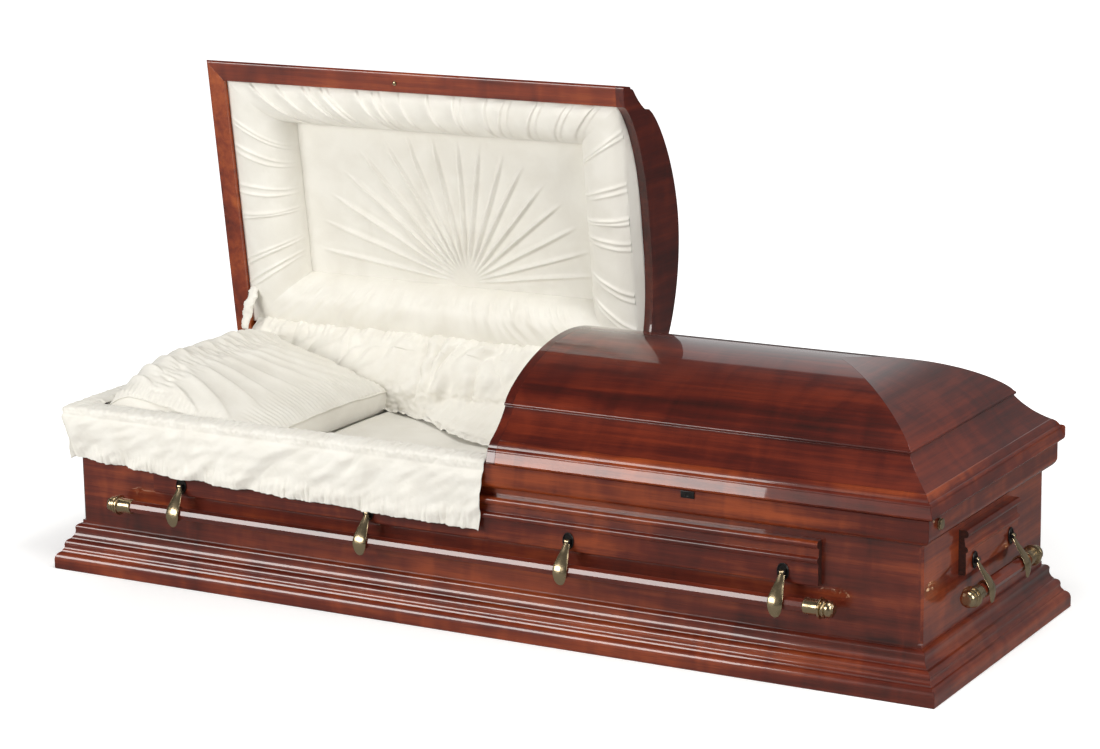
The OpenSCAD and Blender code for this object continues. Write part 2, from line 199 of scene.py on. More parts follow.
def edit(piece: bpy.types.Object, chosen: Optional[Callable[[bpy.types.MeshPolygon], bool]] = None) -> None:
    """Enter edit mode on a piece, with all or some of its faces selected.

    Args:
        piece: The piece to work on.
        chosen: Says whether a face is selected; all are when it is left out.
    """
    take(piece)
    bpy.ops.object.mode_set(mode="EDIT")
    bpy.ops.mesh.select_mode(type="FACE")
    bpy.ops.mesh.select_all(action="DESELECT" if chosen else "SELECT")
    if chosen:
        bpy.ops.object.mode_set(mode="OBJECT")
        for face in piece.data.polygons:
            face.select = chosen(face)
        bpy.ops.object.mode_set(mode="EDIT")


def face_outward(piece: bpy.types.Object) -> None:
    """Turn all of a closed piece's faces outward."""
    edit(piece)
    bpy.ops.mesh.normals_make_consistent(inside=False)
    bpy.ops.object.mode_set(mode="OBJECT")


def close_edges(piece: bpy.types.Object, near: float = 1e-4) -> None:
    """Merge a piece's doubled points and fill the open edges that are left.

    Args:
        piece: The piece to close.
        near: How near two points must be to be merged.
    """
    edit(piece)
    bpy.ops.mesh.remove_doubles(threshold=near)
    bpy.ops.mesh.select_mode(type="EDGE")
    bpy.ops.mesh.select_all(action="DESELECT")
    bpy.ops.mesh.select_non_manifold()
    bpy.ops.mesh.fill()
    bpy.ops.object.mode_set(mode="OBJECT")


def outline(name: str, places: Sequence[Vector]) -> bpy.types.Object:
    """Lay out a flat face with one corner at each of the given places.

    Args:
        name: Name of the new piece.
        places: The corners in order.

    Returns:
        The piece, a single face.
    """
    deselect()
    bpy.ops.mesh.primitive_circle_add(vertices=len(places), radius=1, fill_type="NGON")
    piece = bpy.context.object
    call(piece, name)
    for corner, place in zip(piece.data.vertices, places):
        corner.co = place
    return piece


def extrude(piece: bpy.types.Object, by: Vector) -> None:
    """Draw a whole face out into a solid, with its faces outward."""
    edit(piece)
    bpy.ops.mesh.extrude_region_move(TRANSFORM_OT_translate={"value": by})
    bpy.ops.mesh.select_all(action="SELECT")
    bpy.ops.mesh.normals_make_consistent(inside=False)
    bpy.ops.object.mode_set(mode="OBJECT")


def saw(piece: bpy.types.Object, at: Vector, off: Vector) -> None:
    """Cut a piece with a plane and cap the cut.

    Args:
        piece: The piece to cut.
        at: A place on the plane.
        off: The direction of the waste.
    """
    edit(piece)
    bpy.ops.mesh.bisect(plane_co=at, plane_no=off.normalized(), use_fill=True, clear_outer=True)
    bpy.ops.object.mode_set(mode="OBJECT")


def apply_modifier(piece: bpy.types.Object, kind: str, **settings: object) -> None:
    """Add a modifier with its settings and apply it.

    Args:
        piece: The piece to change.
        kind: The type of the modifier.
        **settings: Values for the modifier's properties.
    """
    take(piece)
    step = piece.modifiers.new(kind.title(), kind)
    for key, value in settings.items():
        setattr(step, key, value)
    bpy.ops.object.modifier_apply(modifier=step.name)


def ease(piece: bpy.types.Object, width: float = 0.0008, segments: int = 2, smooth: float = 35) -> None:
    """Round a piece's sharp edges a little and shade the rest smooth, with its broad faces flat.

    Args:
        piece: The piece to finish.
        width: Width of the rounding, in metres.
        segments: Number of steps across it.
        smooth: Greatest angle, in degrees, that is shaded smooth.
    """
    if width > 0:
        apply_modifier(piece, "BEVEL", width=width, segments=segments, limit_method="ANGLE",
                       angle_limit=math.radians(38), use_clamp_overlap=True, miter_outer="MITER_ARC")
    take(piece)
    bpy.ops.object.shade_smooth_by_angle(angle=math.radians(smooth))
    apply_modifier(piece, "WEIGHTED_NORMAL", keep_sharp=True, weight=80)


def join(name: str, pieces: Sequence[bpy.types.Object]) -> bpy.types.Object:
    """Make several pieces one object with the first one's origin.

    Args:
        name: Name of the joined piece.
        pieces: The pieces, which are used up.

    Returns:
        The joined piece.
    """
    take(pieces[0])
    for piece in pieces[1:]:
        piece.select_set(True)
    bpy.ops.object.join()
    return call(pieces[0], name)


def settle(piece: bpy.types.Object, turn: Optional[Matrix] = None) -> bpy.types.Object:
    """Put a piece's place into its mesh, and shade it afresh if the move mirrors it.

    Args:
        piece: The piece to settle.
        turn: A move to make first.

    Returns:
        The same piece, with its object at the origin.
    """
    take(piece)
    if turn is not None:
        piece.matrix_world = turn @ piece.matrix_world
    bpy.ops.object.transform_apply(location=True, rotation=True, scale=True)
    if turn is not None and turn.determinant() < 0:
        face_outward(piece)
        if piece.data.has_custom_normals:
            bpy.ops.mesh.customdata_custom_splitnormals_clear()
            ease(piece, 0)
    return piece


def twin(piece: bpy.types.Object, name: str, turn: Matrix) -> bpy.types.Object:
    """Copy a finished piece, with its own mesh, to another place.

    Args:
        piece: The piece to copy.
        name: Name of the copy.
        turn: The move from the piece to its copy.

    Returns:
        The copy.
    """
    copy = piece.copy()
    copy.data = piece.data.copy()
    call(copy, name)
    bpy.context.scene.collection.objects.link(copy)
    return settle(copy, turn)


def fit(piece: bpy.types.Object, body: Body, slot: Slot, *nodes: str) -> bpy.types.Object:
    """Hang a finished piece on its body and hide the nodes that it stands in for.

    Args:
        piece: The finished piece.
        body: What it rides on.
        slot: Its slot among the record's materials; not used.
        *nodes: Nodes of the frame that it replaces.

    Returns:
        The same piece.
    """
    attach(piece, body.value)
    if nodes:
        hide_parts(*nodes)
    LOG.info("%s rides on %s, %d faces", piece.name, body.value, len(piece.data.polygons))
    return piece


def coat(piece: bpy.types.Object, *materials: bpy.types.Material) -> None:
    """Give a piece its materials, the first one to every face."""
    piece.data.materials.clear()
    for material in materials:
        piece.data.materials.append(material)


def stand_open() -> Matrix:
    """The turn from a closed head lid to the open one."""
    hinge = Matrix.Translation(HINGE)
    return hinge @ Matrix.Rotation(-OPEN_ANGLE, 4, "X") @ hinge.inverted()


def quarter(c: Pair, rx: float, rz: float, a: float, b: float, n: int = 14) -> list[Pair]:
    """Points on an ellipse.

    Args:
        c: Its centre, as inset and height.
        rx: Its half width.
        rz: Its half height.
        a: First angle, in degrees.
        b: Last angle, in degrees.
        n: Number of steps.

    Returns:
        The points from a to b.
    """
    turns = [math.radians(a + (b - a) * k / n) for k in range(n + 1)]
    return [(c[0] + rx * math.cos(t), c[1] + rz * math.sin(t)) for t in turns]


def bow(p: Pair, q: Pair, sag: float, n: int = 12) -> list[Pair]:
    """Points on a shallow arc.

    Args:
        p: Its first end.
        q: Its last end.
        sag: How far its middle sinks to the right of the chord.
        n: Number of steps.

    Returns:
        The points from p to q.
    """
    dx, dz = q[0] - p[0], q[1] - p[1]
    size = math.hypot(dx, dz)
    points = []
    for k in range(n + 1):
        s = k / n
        away = sag * 4 * s * (1 - s)
        points.append((p[0] + dx * s + dz / size * away, p[1] + dz * s - dx / size * away))
    return points


def tidy(points: Iterable[Pair], least: float = 1e-5) -> list[Pair]:
    """Drop each point that lies on the one before it."""
    kept: list[Pair] = []
    for p in points:
        if not kept or math.hypot(p[0] - kept[-1][0], p[1] - kept[-1][1]) > least:
            kept.append(p)
    return kept


def millimetres(points: Iterable[Pair]) -> list[Pair]:
    """Turn a profile drawn in millimetres into metres."""
    return [(p[0] / 1000, p[1] / 1000) for p in tidy(points, 0.01)]


# ---------------------------------------------------------------- finishes


class Board:
    """A material's node tree while it is being wired."""

    def __init__(self, name: str) -> None:
        """Start a material with its main shader and its Object coordinates."""
        self.material = bpy.data.materials.new(name)
        self.material.use_nodes = True
        self.tree = self.material.node_tree
        self.shader = self.tree.nodes["Principled BSDF"]
        self.place = self.add("ShaderNodeTexCoord").outputs["Object"]

    def add(self, kind: str, **settings: object) -> bpy.types.Node:
        """Add a node and set its properties and unlinked sockets.

        Args:
            kind: The node's type.
            **settings: Properties, or sockets written with _ for each space.

        Returns:
            The node.
        """
        node = self.tree.nodes.new(kind)
        for key, value in settings.items():
            if hasattr(node, key):
                setattr(node, key, value)
            else:
                node.inputs[key.replace("_", " ")].default_value = value
        return node

    def link(self, start: bpy.types.NodeSocket, end: bpy.types.NodeSocket) -> None:
        """Wire one socket to another."""
        self.tree.links.new(start, end)

    def stretch(self, scale: Triple, turn: Triple = (0, 0, 0), source: Optional[bpy.types.NodeSocket] = None
                ) -> bpy.types.NodeSocket:
        """Scale and turn the coordinates of a pattern.

        Args:
            scale: The pattern's scale along each axis, after the turn.
            turn: Its turn.
            source: The coordinates to start from; the piece's own when left out.

        Returns:
            The changed coordinates.
        """
        turned = self.add("ShaderNodeMapping", vector_type="POINT")
        turned.inputs["Rotation"].default_value = turn
        self.link(source or self.place, turned.inputs["Vector"])
        scaled = self.add("ShaderNodeMapping", vector_type="POINT")
        scaled.inputs["Scale"].default_value = scale
        self.link(turned.outputs["Vector"], scaled.inputs["Vector"])
        return scaled.outputs["Vector"]

    def noise(self, scale: float, detail: float, place: bpy.types.NodeSocket, rough: float = 0.55,
              twist: float = 0.0) -> bpy.types.NodeSocket:
        """Add a noise pattern.

        Args:
            scale: Its scale.
            detail: Its levels of detail.
            place: Its coordinates.
            rough: How strong the fine levels are.
            twist: How much it is distorted.

        Returns:
            Its value, from 0 to 1.
        """
        node = self.add("ShaderNodeTexNoise", Scale=scale, Detail=detail, Roughness=rough, Distortion=twist)
        self.link(place, node.inputs["Vector"])
        return node.outputs["Fac"]

    def ramp(self, value: bpy.types.NodeSocket, *stops: tuple[float, Colour]) -> bpy.types.NodeSocket:
        """Turn a value into a colour.

        Args:
            value: The value.
            *stops: Each stop's place from 0 to 1 and its colour.

        Returns:
            The colour.
        """
        node = self.add("ShaderNodeValToRGB")
        bar = node.color_ramp.elements
        while len(bar) < len(stops):
            bar.new(0.5)
        for element, (at, colour) in zip(bar, stops):
            element.position = at
            element.color = (*colour, 1)
        self.link(value, node.inputs["Fac"])
        return node.outputs["Color"]

    def maths(self, operation: str, a: object, b: object) -> bpy.types.NodeSocket:
        """Combine two values, each a socket or a number."""
        node = self.add("ShaderNodeMath", operation=operation)
        for value, socket in zip((a, b), node.inputs):
            if isinstance(value, (int, float)):
                socket.default_value = value
            else:
                self.link(value, socket)
        return node.outputs["Value"]

    def mix(self, kind: str, share: object, a: object, b: object) -> bpy.types.NodeSocket:
        """Mix two colours, each a socket or a colour, by a share that is a socket or a number."""
        node = self.add("ShaderNodeMix", data_type="RGBA", blend_type=kind)
        for value, socket in ((share, node.inputs[0]), (a, node.inputs[6]), (b, node.inputs[7])):
            if isinstance(value, bpy.types.NodeSocket):
                self.link(value, socket)
            else:
                socket.default_value = value if isinstance(value, (int, float)) else (*value, 1)
        return node.outputs[2]

    def bump(self, height: bpy.types.NodeSocket, strength: float, distance: float,
             under: Optional[bpy.types.NodeSocket] = None) -> bpy.types.NodeSocket:
        """Turn a height into a bent normal.

        Args:
            height: The height, from 0 to 1.
            strength: Its strength, from 0 to 1.
            distance: Its depth, in metres.
            under: The normal that it lies on.

        Returns:
            The normal.
        """
        node = self.add("ShaderNodeBump", Strength=strength, Distance=distance)
        self.link(height, node.inputs["Height"])
        if under:
            self.link(under, node.inputs["Normal"])
        return node.outputs["Normal"]

    def set(self, **values: object) -> None:
        """Set constants on the main shader, with _ for each space in a socket's name."""
        for key, value in values.items():
            self.shader.inputs[key.replace("_", " ")].default_value = value


@dataclass(frozen=True)
class Cherry:
    """Cherry wood under a thick, clear gloss lacquer."""

    name: str
    pale: Colour
    warm: Colour
    deep: Colour
    blotch: float = 0.62
    gloss: float = 0.02
    shine: float = 1.5

    def material(self, grain: Grain) -> bpy.types.Material:
        """Wire the wood, with its grain in the given direction.

        Args:
            grain: The direction of the grain.

        Returns:
            The material.
        """
        b = Board(f"{self.name}_{grain.name.lower()}")
        fibre = b.noise(1.0, 7, b.stretch((1.3, 52, 52), grain.value), 0.64, 0.35)
        fine = b.noise(1.0, 3, b.stretch((9, 420, 420), grain.value), 0.6)
        patch = b.noise(1.0, 4, b.stretch((1.5, 9, 9), grain.value), 0.55, 0.7)
        curl = b.noise(1.0, 2, b.stretch((16, 5, 5), grain.value), 0.45, 1.2)
        figure = b.maths("ADD", b.maths("MULTIPLY", fibre, 0.42), b.maths("MULTIPLY", patch, self.blotch))
        figure = b.maths("ADD", figure, b.maths("MULTIPLY", b.maths("SUBTRACT", curl, 0.5), 0.22))
        figure = b.maths("ADD", figure, b.maths("MULTIPLY", b.maths("SUBTRACT", fine, 0.5), 0.10))
        colour = b.ramp(figure, (0.33, self.deep), (0.50, self.warm), (0.68, self.pale))
        pores = b.ramp(b.noise(1.0, 2, b.stretch((26, 900, 900), grain.value), 0.5),
                       (0.30, (0.45, 0.40, 0.38)), (0.42, (1, 1, 1)))
        b.link(b.mix("MULTIPLY", 0.55, colour, pores), b.shader.inputs["Base Color"])
        b.link(b.bump(fine, 0.25, 0.0002), b.shader.inputs["Normal"])
        wave = b.noise(9.0, 2, b.place, 0.4)
        b.link(b.bump(wave, 0.10, 0.002), b.shader.inputs["Coat Normal"])
        b.set(Roughness=0.38, Specular_IOR_Level=0.35, Coat_Weight=1.0, Coat_Roughness=self.gloss,
              Coat_IOR=self.shine)
        return b.material


@dataclass(frozen=True)
class EndGrainAndShade:
    """The sawn end of a cherry board: dark as end grain is, and darker still as painted shade for ends that
    stand in shade.
    """

    name: str = "cherry_ends_grain_and_shade"
    light: Colour = (0.060, 0.014, 0.007)
    dark: Colour = (0.018, 0.005, 0.004)

    def material(self) -> bpy.types.Material:
        """Wire the end grain, darkened further as painted shade, with its rings and pores."""
        b = Board(self.name)
        rings = b.noise(1.0, 4, b.stretch((60, 60, 160)), 0.6, 1.5)
        b.link(b.ramp(rings, (0.35, self.dark), (0.65, self.light)), b.shader.inputs["Base Color"])
        b.link(b.bump(b.noise(900, 2, b.place), 0.2, 0.0002), b.shader.inputs["Normal"])
        b.set(Roughness=0.45, Coat_Weight=0.8, Coat_Roughness=0.1)
        return b.material


@dataclass(frozen=True)
class Brass:
    """Antique brass, rubbed bright in some places and tarnished brown in others, in random patches."""

    name: str = "antique_brass"
    bright: Colour = (0.56, 0.44, 0.27)
    brown: Colour = (0.22, 0.15, 0.075)
    rough: float = 0.25

    def material(self) -> bpy.types.Material:
        """Wire the brass with its tarnish and fine brushing."""
        b = Board(self.name)
        tarnish = b.noise(34, 3, b.place, 0.5, 0.4)
        brushed = b.noise(1.0, 3, b.stretch((60, 900, 900)), 0.6)
        b.link(b.ramp(tarnish, (0.16, self.brown), (0.40, self.bright)), b.shader.inputs["Base Color"])
        rough = b.add("ShaderNodeMapRange")
        rough.inputs["To Min"].default_value = self.rough + 0.08
        rough.inputs["To Max"].default_value = self.rough - 0.06
        b.link(tarnish, rough.inputs["Value"])
        b.link(rough.outputs["Result"], b.shader.inputs["Roughness"])
        b.link(b.bump(brushed, 0.06, 0.0001), b.shader.inputs["Normal"])
        b.set(Metallic=1.0)
        return b.material


@dataclass(frozen=True)
class BlackIron:
    """Black painted metal."""

    name: str = "black_metal"

    def material(self) -> bpy.types.Material:
        """Wire the black paint with its faint orange peel."""
        b = Board(self.name)
        peel = b.noise(420, 3, b.place)
        b.link(b.ramp(peel, (0.3, (0.008, 0.007, 0.007)), (0.7, (0.020, 0.018, 0.017))),
               b.shader.inputs["Base Color"])
        b.link(b.bump(peel, 0.15, 0.0003), b.shader.inputs["Normal"])
        b.set(Roughness=0.35, Metallic=0.4)
        return b.material


@dataclass(frozen=True)
class Cloth:
    """Ivory cloth: crepe with a fine crinkle, or smooth satin."""

    name: str
    light: Colour = (0.85, 0.83, 0.765)
    shade: Colour = (0.80, 0.775, 0.705)
    crinkle: float = 0.35
    rough: float = 0.62
    sheen: float = 0.35

    def material(self) -> bpy.types.Material:
        """Wire the cloth with its weave, its crinkle and its soft sheen."""
        b = Board(self.name)
        tone = b.noise(14, 4, b.place, 0.5, 0.4)
        b.link(b.ramp(tone, (0.32, self.shade), (0.62, self.light)), b.shader.inputs["Base Color"])
        weave = b.noise(2600, 2, b.place, 0.5)
        crepe = b.noise(1.0, 3, b.stretch((330, 330, 330)), 0.6, 0.8)
        soft = b.noise(46, 4, b.place, 0.55, 0.9)
        first = b.bump(soft, self.crinkle, 0.004)
        second = b.bump(crepe, self.crinkle * 0.8, 0.0008, first)
        b.link(b.bump(weave, 0.25, 0.0002, second), b.shader.inputs["Normal"])
        b.set(Roughness=self.rough, Specular_IOR_Level=0.35, Sheen_Weight=self.sheen, Sheen_Roughness=0.4)
        return b.material


@dataclass
class Palette:
    """Every finish of the casket, made once and shared by its pieces."""

    body: Cherry = Cherry("body_cherry", (.310, .054, .011), (.125, .014, .004), (.032, .004, .002))
    rail: Cherry = Cherry("rail_cherry", (.330, .058, .010), (.112, .012, .004), (.036, .004, .002),
                          shine=1.38)
    # A paler copy of the rail's cherry for the open head lid's rim: painted light.
    rim: Cherry = Cherry("rim_cherry_painted_light", (.400, .085, .016), (.215, .030, .007), (.075, .009, .004))
    crown: Cherry = Cherry("crown_cherry", (.170, .020, .005), (.074, .006, .002), (.016, .002, .001))
    bar: Cherry = Cherry("bar_cherry", (.180, .026, .008), (.105, .013, .005), (.040, .006, .003))

    def __post_init__(self) -> None:
        """Make the materials."""
        self.wood = {(c.name, g): c.material(g) for g in Grain
                     for c in (self.body, self.rail, self.rim, self.crown, self.bar)}
        self.end_grain = EndGrainAndShade().material()
        self.brass = Brass().material()
        self.black = BlackIron().material()
        self.crepe = Cloth("ivory_crepe").material()
        self.satin = Cloth("ivory_satin", crinkle=0.12, rough=0.45, sheen=0.2).material()

    def cherry(self, kind: Cherry, grain: Grain) -> bpy.types.Material:
        """Find the wood of one kind with its grain in one direction."""
        return self.wood[(kind.name, grain)]


# ---------------------------------------------------------------- joinery


@dataclass
class Moulding:
    """A moulding that runs along one side, with a mitre or a square cut at each end.

    Its profile is drawn as inset from the base moulding's edge and height, in metres.
    """

    profile: list[Pair]
    easing: float = 0.0007

    def run(self, name: str, side: Side, start: Optional[float] = None, stop: Optional[float] = None
            ) -> bpy.types.Object:
        """Draw the profile out along a side and saw its ends.

        Args:
            name: Name of the piece.
            side: The side that it runs along.
            start: Place of a square cut at its first end; a mitre when left out.
            stop: Place of a square cut at its last end; a mitre when left out.

        Returns:
            The moulding.
        """
        first = -side.reach if start is None else start
        last = side.reach if stop is None else stop
        piece = outline(name, [side.spot(first, i, z) for i, z in self.profile])
        extrude(piece, side.along * (last - first))
        if start is None:
            saw(piece, side.spot(-side.reach, 0, 0), -side.along - side.out)
        if stop is None:
            saw(piece, side.spot(side.reach, 0, 0), side.along - side.out)
        face_outward(piece)
        ease(piece, self.easing)
        return piece


@dataclass
class Base:
    """The stepped base moulding and the body's flat boards."""

    plinth_h: float = 20
    top: float = 99

    def profile(self) -> list[Pair]:
        """The base moulding's section: plinth, ogee, cove and bead."""
        face = FACE_IN * 1000
        return millimetres([
            (face, 0), (1.5, 0), (0, 1.5), (0, self.plinth_h),
            *quarter((14, self.plinth_h), 14, 18, 180, 100),
            *bow((12.5, 41), (16.5, 54), 2.2, 8), *quarter((29, 54), 12, 12, 180, 95, 10),
            *bow((28.5, 68), (35, 90), 3, 10),
            *quarter((face - 2, 90), 11, self.top - 90, 180, 90, 8),
            (face, self.top)])

    def build(self, palette: Palette) -> None:
        """Run the base moulding round the casket and dress the boards above it.

        Args:
            palette: The casket's finishes.
        """
        moulding = Moulding(self.profile())
        for side in Side:
            piece = moulding.run(f"base_moulding_{side.value}", side)
            coat(piece, palette.cherry(palette.body, side.grain))
            fit(piece, Body.CASKET, Slot.CHERRY, f"base_{side.value}")
            board = f"{'side' if side.grain is Grain.ALONG else 'end'}_{side.value}"
            coat(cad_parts[board], palette.cherry(palette.body, side.grain))
        coat(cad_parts["bottom_board"], palette.cherry(palette.body, Grain.ALONG))


@dataclass
class Rail:
    """The top rail round the body, with its cove, and the applied panels below it."""

    cove_z: float = 308
    board_h: float = 328
    long_panel: float = 1.590
    short_panel: float = 0.276
    panel_low: float = 200
    panel_high: float = 292
    panel_t: float = 21
    stud_at: Pair = (-0.525, -0.3266)
    stud_hole: float = 0.006

    def rail_profile(self) -> list[Pair]:
        """The rail's section: a square nose over a cove."""
        rail, face, top = RAIL_IN * 1000, FACE_IN * 1000, RAIL_TOP * 1000
        return millimetres([
            (BODY_IN * 1000, top), (rail + 1.5, top), (rail, top - 2), (rail, self.board_h),
            *quarter((face, self.board_h), rail - face, self.cove_z - self.board_h, 0, 90)[1:],
            (face, self.board_h), (BODY_IN * 1000, self.board_h)])

    def panel_profile(self) -> list[Pair]:
        """The applied panel's section, as distance out from the body's face and height."""
        t, high = self.panel_t, self.panel_high
        return millimetres([
            (0, self.panel_low), (t - 6, self.panel_low), (t - 5, self.panel_low + 3), (t - 5, high - 46),
            *quarter((t - 5, high - 40), 4, 6, -90, 90, 10), (t - 7, high - 32),
            *[(t - 7 - 2 * math.sin(math.radians(a)), high - 30 + 14 * math.sin(math.radians(a)))
              for a in range(0, 91, 15)],
            *quarter((t - 7, high - 8), 7, 8, -60, 90, 12), (0, high)])

    def panel(self, side: Side, palette: Palette) -> None:
        """Plant an applied panel on one side, with its sawn ends dark from end grain and painted shade.

        Args:
            side: The side to plant it on.
            palette: The casket's finishes.
        """
        length = self.long_panel if side.reach > 0.5 else self.short_panel
        section = [(FACE_IN - out, z) for out, z in self.panel_profile()]
        piece = Moulding(section).run(f"applied_panel_{side.value}", side, -length / 2, length / 2)
        coat(piece, palette.cherry(palette.rail, side.grain), palette.end_grain)
        # The sawn ends take the end grain, darkened further as painted shade.
        for face in piece.data.polygons:
            if abs(face.normal.dot(side.along)) > 0.9:
                face.material_index = 1
        fit(piece, Body.CASKET, Slot.CHERRY, f"panel_{side.value}")

    def build(self, palette: Palette) -> None:
        """Run the rail round the body and plant the panels.

        Args:
            palette: The casket's finishes.
        """
        for side in Side:
            piece = Moulding(self.rail_profile()).run(f"top_rail_{side.value}", side)
            if side is Side.FRONT:
                self.bore(piece)
            coat(piece, palette.cherry(palette.rail, side.grain))
            fit(piece, Body.CASKET, Slot.CHERRY, f"rail_{side.value}")
            self.panel(side, palette)

    def bore(self, rail: bpy.types.Object) -> None:
        """Drill the blind hole that takes the head lid's stud.

        Args:
            rail: The front rail.
        """
        deselect()
        bpy.ops.mesh.primitive_cylinder_add(vertices=32, radius=self.stud_hole, depth=0.012,
                                            location=(*self.stud_at, RAIL_TOP))
        drill = bpy.context.object
        apply_modifier(rail, "BOOLEAN", operation="DIFFERENCE", object=drill, solver="EXACT")
        bpy.data.objects.remove(drill)
        ease(rail, 0)


@dataclass
class Lid:
    """One hipped lid, drawn closed with its square cut toward the other lid."""

    body: Body
    cut: float
    mirrored: bool
    crown_z: float = 478.6
    crown_rise: float = 98
    groove: Pair = (38, 412.3)
    cove_end: Pair = (97, 469.4)
    shell_t: float = 18
    arch_rise: float = 78
    steps: int = 40

    @property
    def word(self) -> str:
        """The lid's name."""
        return self.body.value.split("_")[0]

    @property
    def turn(self) -> Matrix:
        """The move from the drawn lid to its place at rest."""
        return stand_open() @ Matrix.Scale(-1, 4, (1, 0, 0)) if self.mirrored else Matrix.Identity(4)

    @staticmethod
    def swell(u: float) -> float:
        """Height of the crown, from 1 in the middle to 0 at its foot."""
        return max(0.0, 1 - u ** 1.9) ** 0.8

    def crown_line(self, foot: float, low: float, rise: float) -> list[Pair]:
        """Points of a crown from its foot to the middle line.

        Args:
            foot: Inset of its foot.
            low: Height of its foot.
            rise: Its rise.

        Returns:
            The points as inset and height.
        """
        width = HALF_W * 1000
        us = [1 - (k / self.steps) ** 1.4 for k in range(self.steps + 1)]
        return [(width - (width - foot) * u, low + rise * self.swell(u)) for u in us]

    def outer(self) -> list[Pair]:
        """The lid's outer line from the groove above its nose to the middle."""
        end, mid = self.cove_end, (self.cove_end[1] + self.crown_z) / 2
        return tidy([
            *bow(self.groove, end, 4.4, 16),
            *quarter((end[0] + 1.5, mid), 5.5, (self.crown_z - end[1]) / 2, 250, 110, 8),
            *self.crown_line(end[0], self.crown_z, self.crown_rise)[1:]], 0.01)

    def inner(self) -> list[Pair]:
        """The inner line of the lid's shell, from its foot to the middle."""
        foot = self.cove_end[0] + self.shell_t - 3
        return [(RIM_IN * 1000, self.groove[1]),
                *self.crown_line(foot, self.crown_z - self.shell_t - 4, self.crown_rise + 4)]

    def rim_profile(self) -> list[Pair]:
        """The section of the rim board with its rounded nose."""
        nose, z, rim = NOSE_IN * 1000, LID_Z * 1000, RIM_IN * 1000
        return [(rim, self.groove[1]), (rim, z), (nose + 9.6, z), (nose + 3, z + 1.5), (nose, z + 5.5),
                (nose + 6.5, z + 25),
                *quarter((nose + 12, z + 26), 5.5, 7, 170, 90, 8),
                *bow((nose + 13, z + 33), self.groove, -2, 8)]

    def crown(self, palette: Palette) -> None:
        """Build the crown: two long halves that meet at the top and a hipped end.

        Args:
            palette: The casket's finishes.
        """
        section = millimetres([*self.outer(), *reversed(self.inner())])
        halves = []
        for side in (Side.FRONT, Side.BACK):
            half = outline("half", [side.spot(self.cut + HEADER_T, i, z) for i, z in section])
            extrude(half, side.along * (HALF_L - self.cut - HEADER_T))
            saw(half, side.spot(side.reach, 0, 0), side.along - side.out)
            edit(half, lambda face: abs(face.center.y) < 1e-4 and abs(face.normal.y) > 0.9)
            bpy.ops.mesh.delete(type="FACE")
            bpy.ops.object.mode_set(mode="OBJECT")
            halves.append(half)
        main = join("crown", halves)
        edit(main)
        bpy.ops.mesh.remove_doubles(threshold=1e-5)
        bpy.ops.mesh.normals_make_consistent(inside=False)
        bpy.ops.object.mode_set(mode="OBJECT")
        hip = Moulding(section, 0).run("hip", Side.FOOT)
        ease(main, 0.0006)
        ease(hip, 0.0006)
        coat(main, palette.cherry(palette.crown, Grain.ALONG))
        coat(hip, palette.cherry(palette.crown, Grain.ACROSS))
        for piece, part in ((main, "crown_boards"), (hip, "crown_end")):
            settle(piece, self.turn)
            call(piece, f"{self.word}_{part}")
            fit(piece, self.body, Slot.CROWN, f"{self.word}_crown")

    def header(self, palette: Palette) -> None:
        """Build the arched board at the lid's cut.

        Args:
            palette: The casket's finishes.
        """
        width, rim = HALF_W * 1000, RIM_IN * 1000
        half = tidy([*self.rim_profile()[1:-1], *self.outer()], 0.01)
        arch = []
        for k in range(self.steps - 1, -self.steps, -1):
            u = k / self.steps
            rise = self.arch_rise * (1 - abs(u) ** 2.6) ** 0.8
            arch.append((width + (width - rim) * u, LID_Z * 1000 + rise))
        ring = millimetres([*half, *[(2 * width - i, z) for i, z in reversed(half[:-1])], *arch])
        board = outline("header", [Side.FRONT.spot(self.cut, i, z) for i, z in ring])
        extrude(board, Vector((HEADER_T, 0, 0)))
        ease(board, 0.0006)
        coat(board, palette.cherry(palette.crown, Grain.ACROSS))
        settle(board, self.turn)
        call(board, f"{self.word}_arched_board")
        fit(board, self.body, Slot.CROWN, f"{self.word}_header")

    def build(self, palette: Palette) -> None:
        """Build the lid's rim boards, crown and arched board.

        Args:
            palette: The casket's finishes.
        """
        moulding = Moulding(millimetres(self.rim_profile()))
        front = moulding.run("rim_front", Side.FRONT, start=self.cut + HEADER_T)
        end = moulding.run("rim_end", Side.FOOT)
        # The open head lid's rim takes the paler cherry as painted light; the closed foot lid's rim takes the
        # rail's.
        kind = palette.rim if self.mirrored else palette.rail
        coat(front, palette.cherry(kind, Grain.ALONG))
        coat(end, palette.cherry(kind, Grain.ACROSS))
        for piece, word in ((front, "front"), (end, "end")):
            settle(piece, self.turn)
            call(piece, f"{self.word}_nose_{word}")
            fit(piece, self.body, Slot.CHERRY, f"{self.word}_rim_{word}")
        coat(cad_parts[f"{self.word}_rim_back"], palette.cherry(kind, Grain.ALONG))
        self.crown(palette)
        self.header(palette)


# ---------------------------------------------------------------- fittings


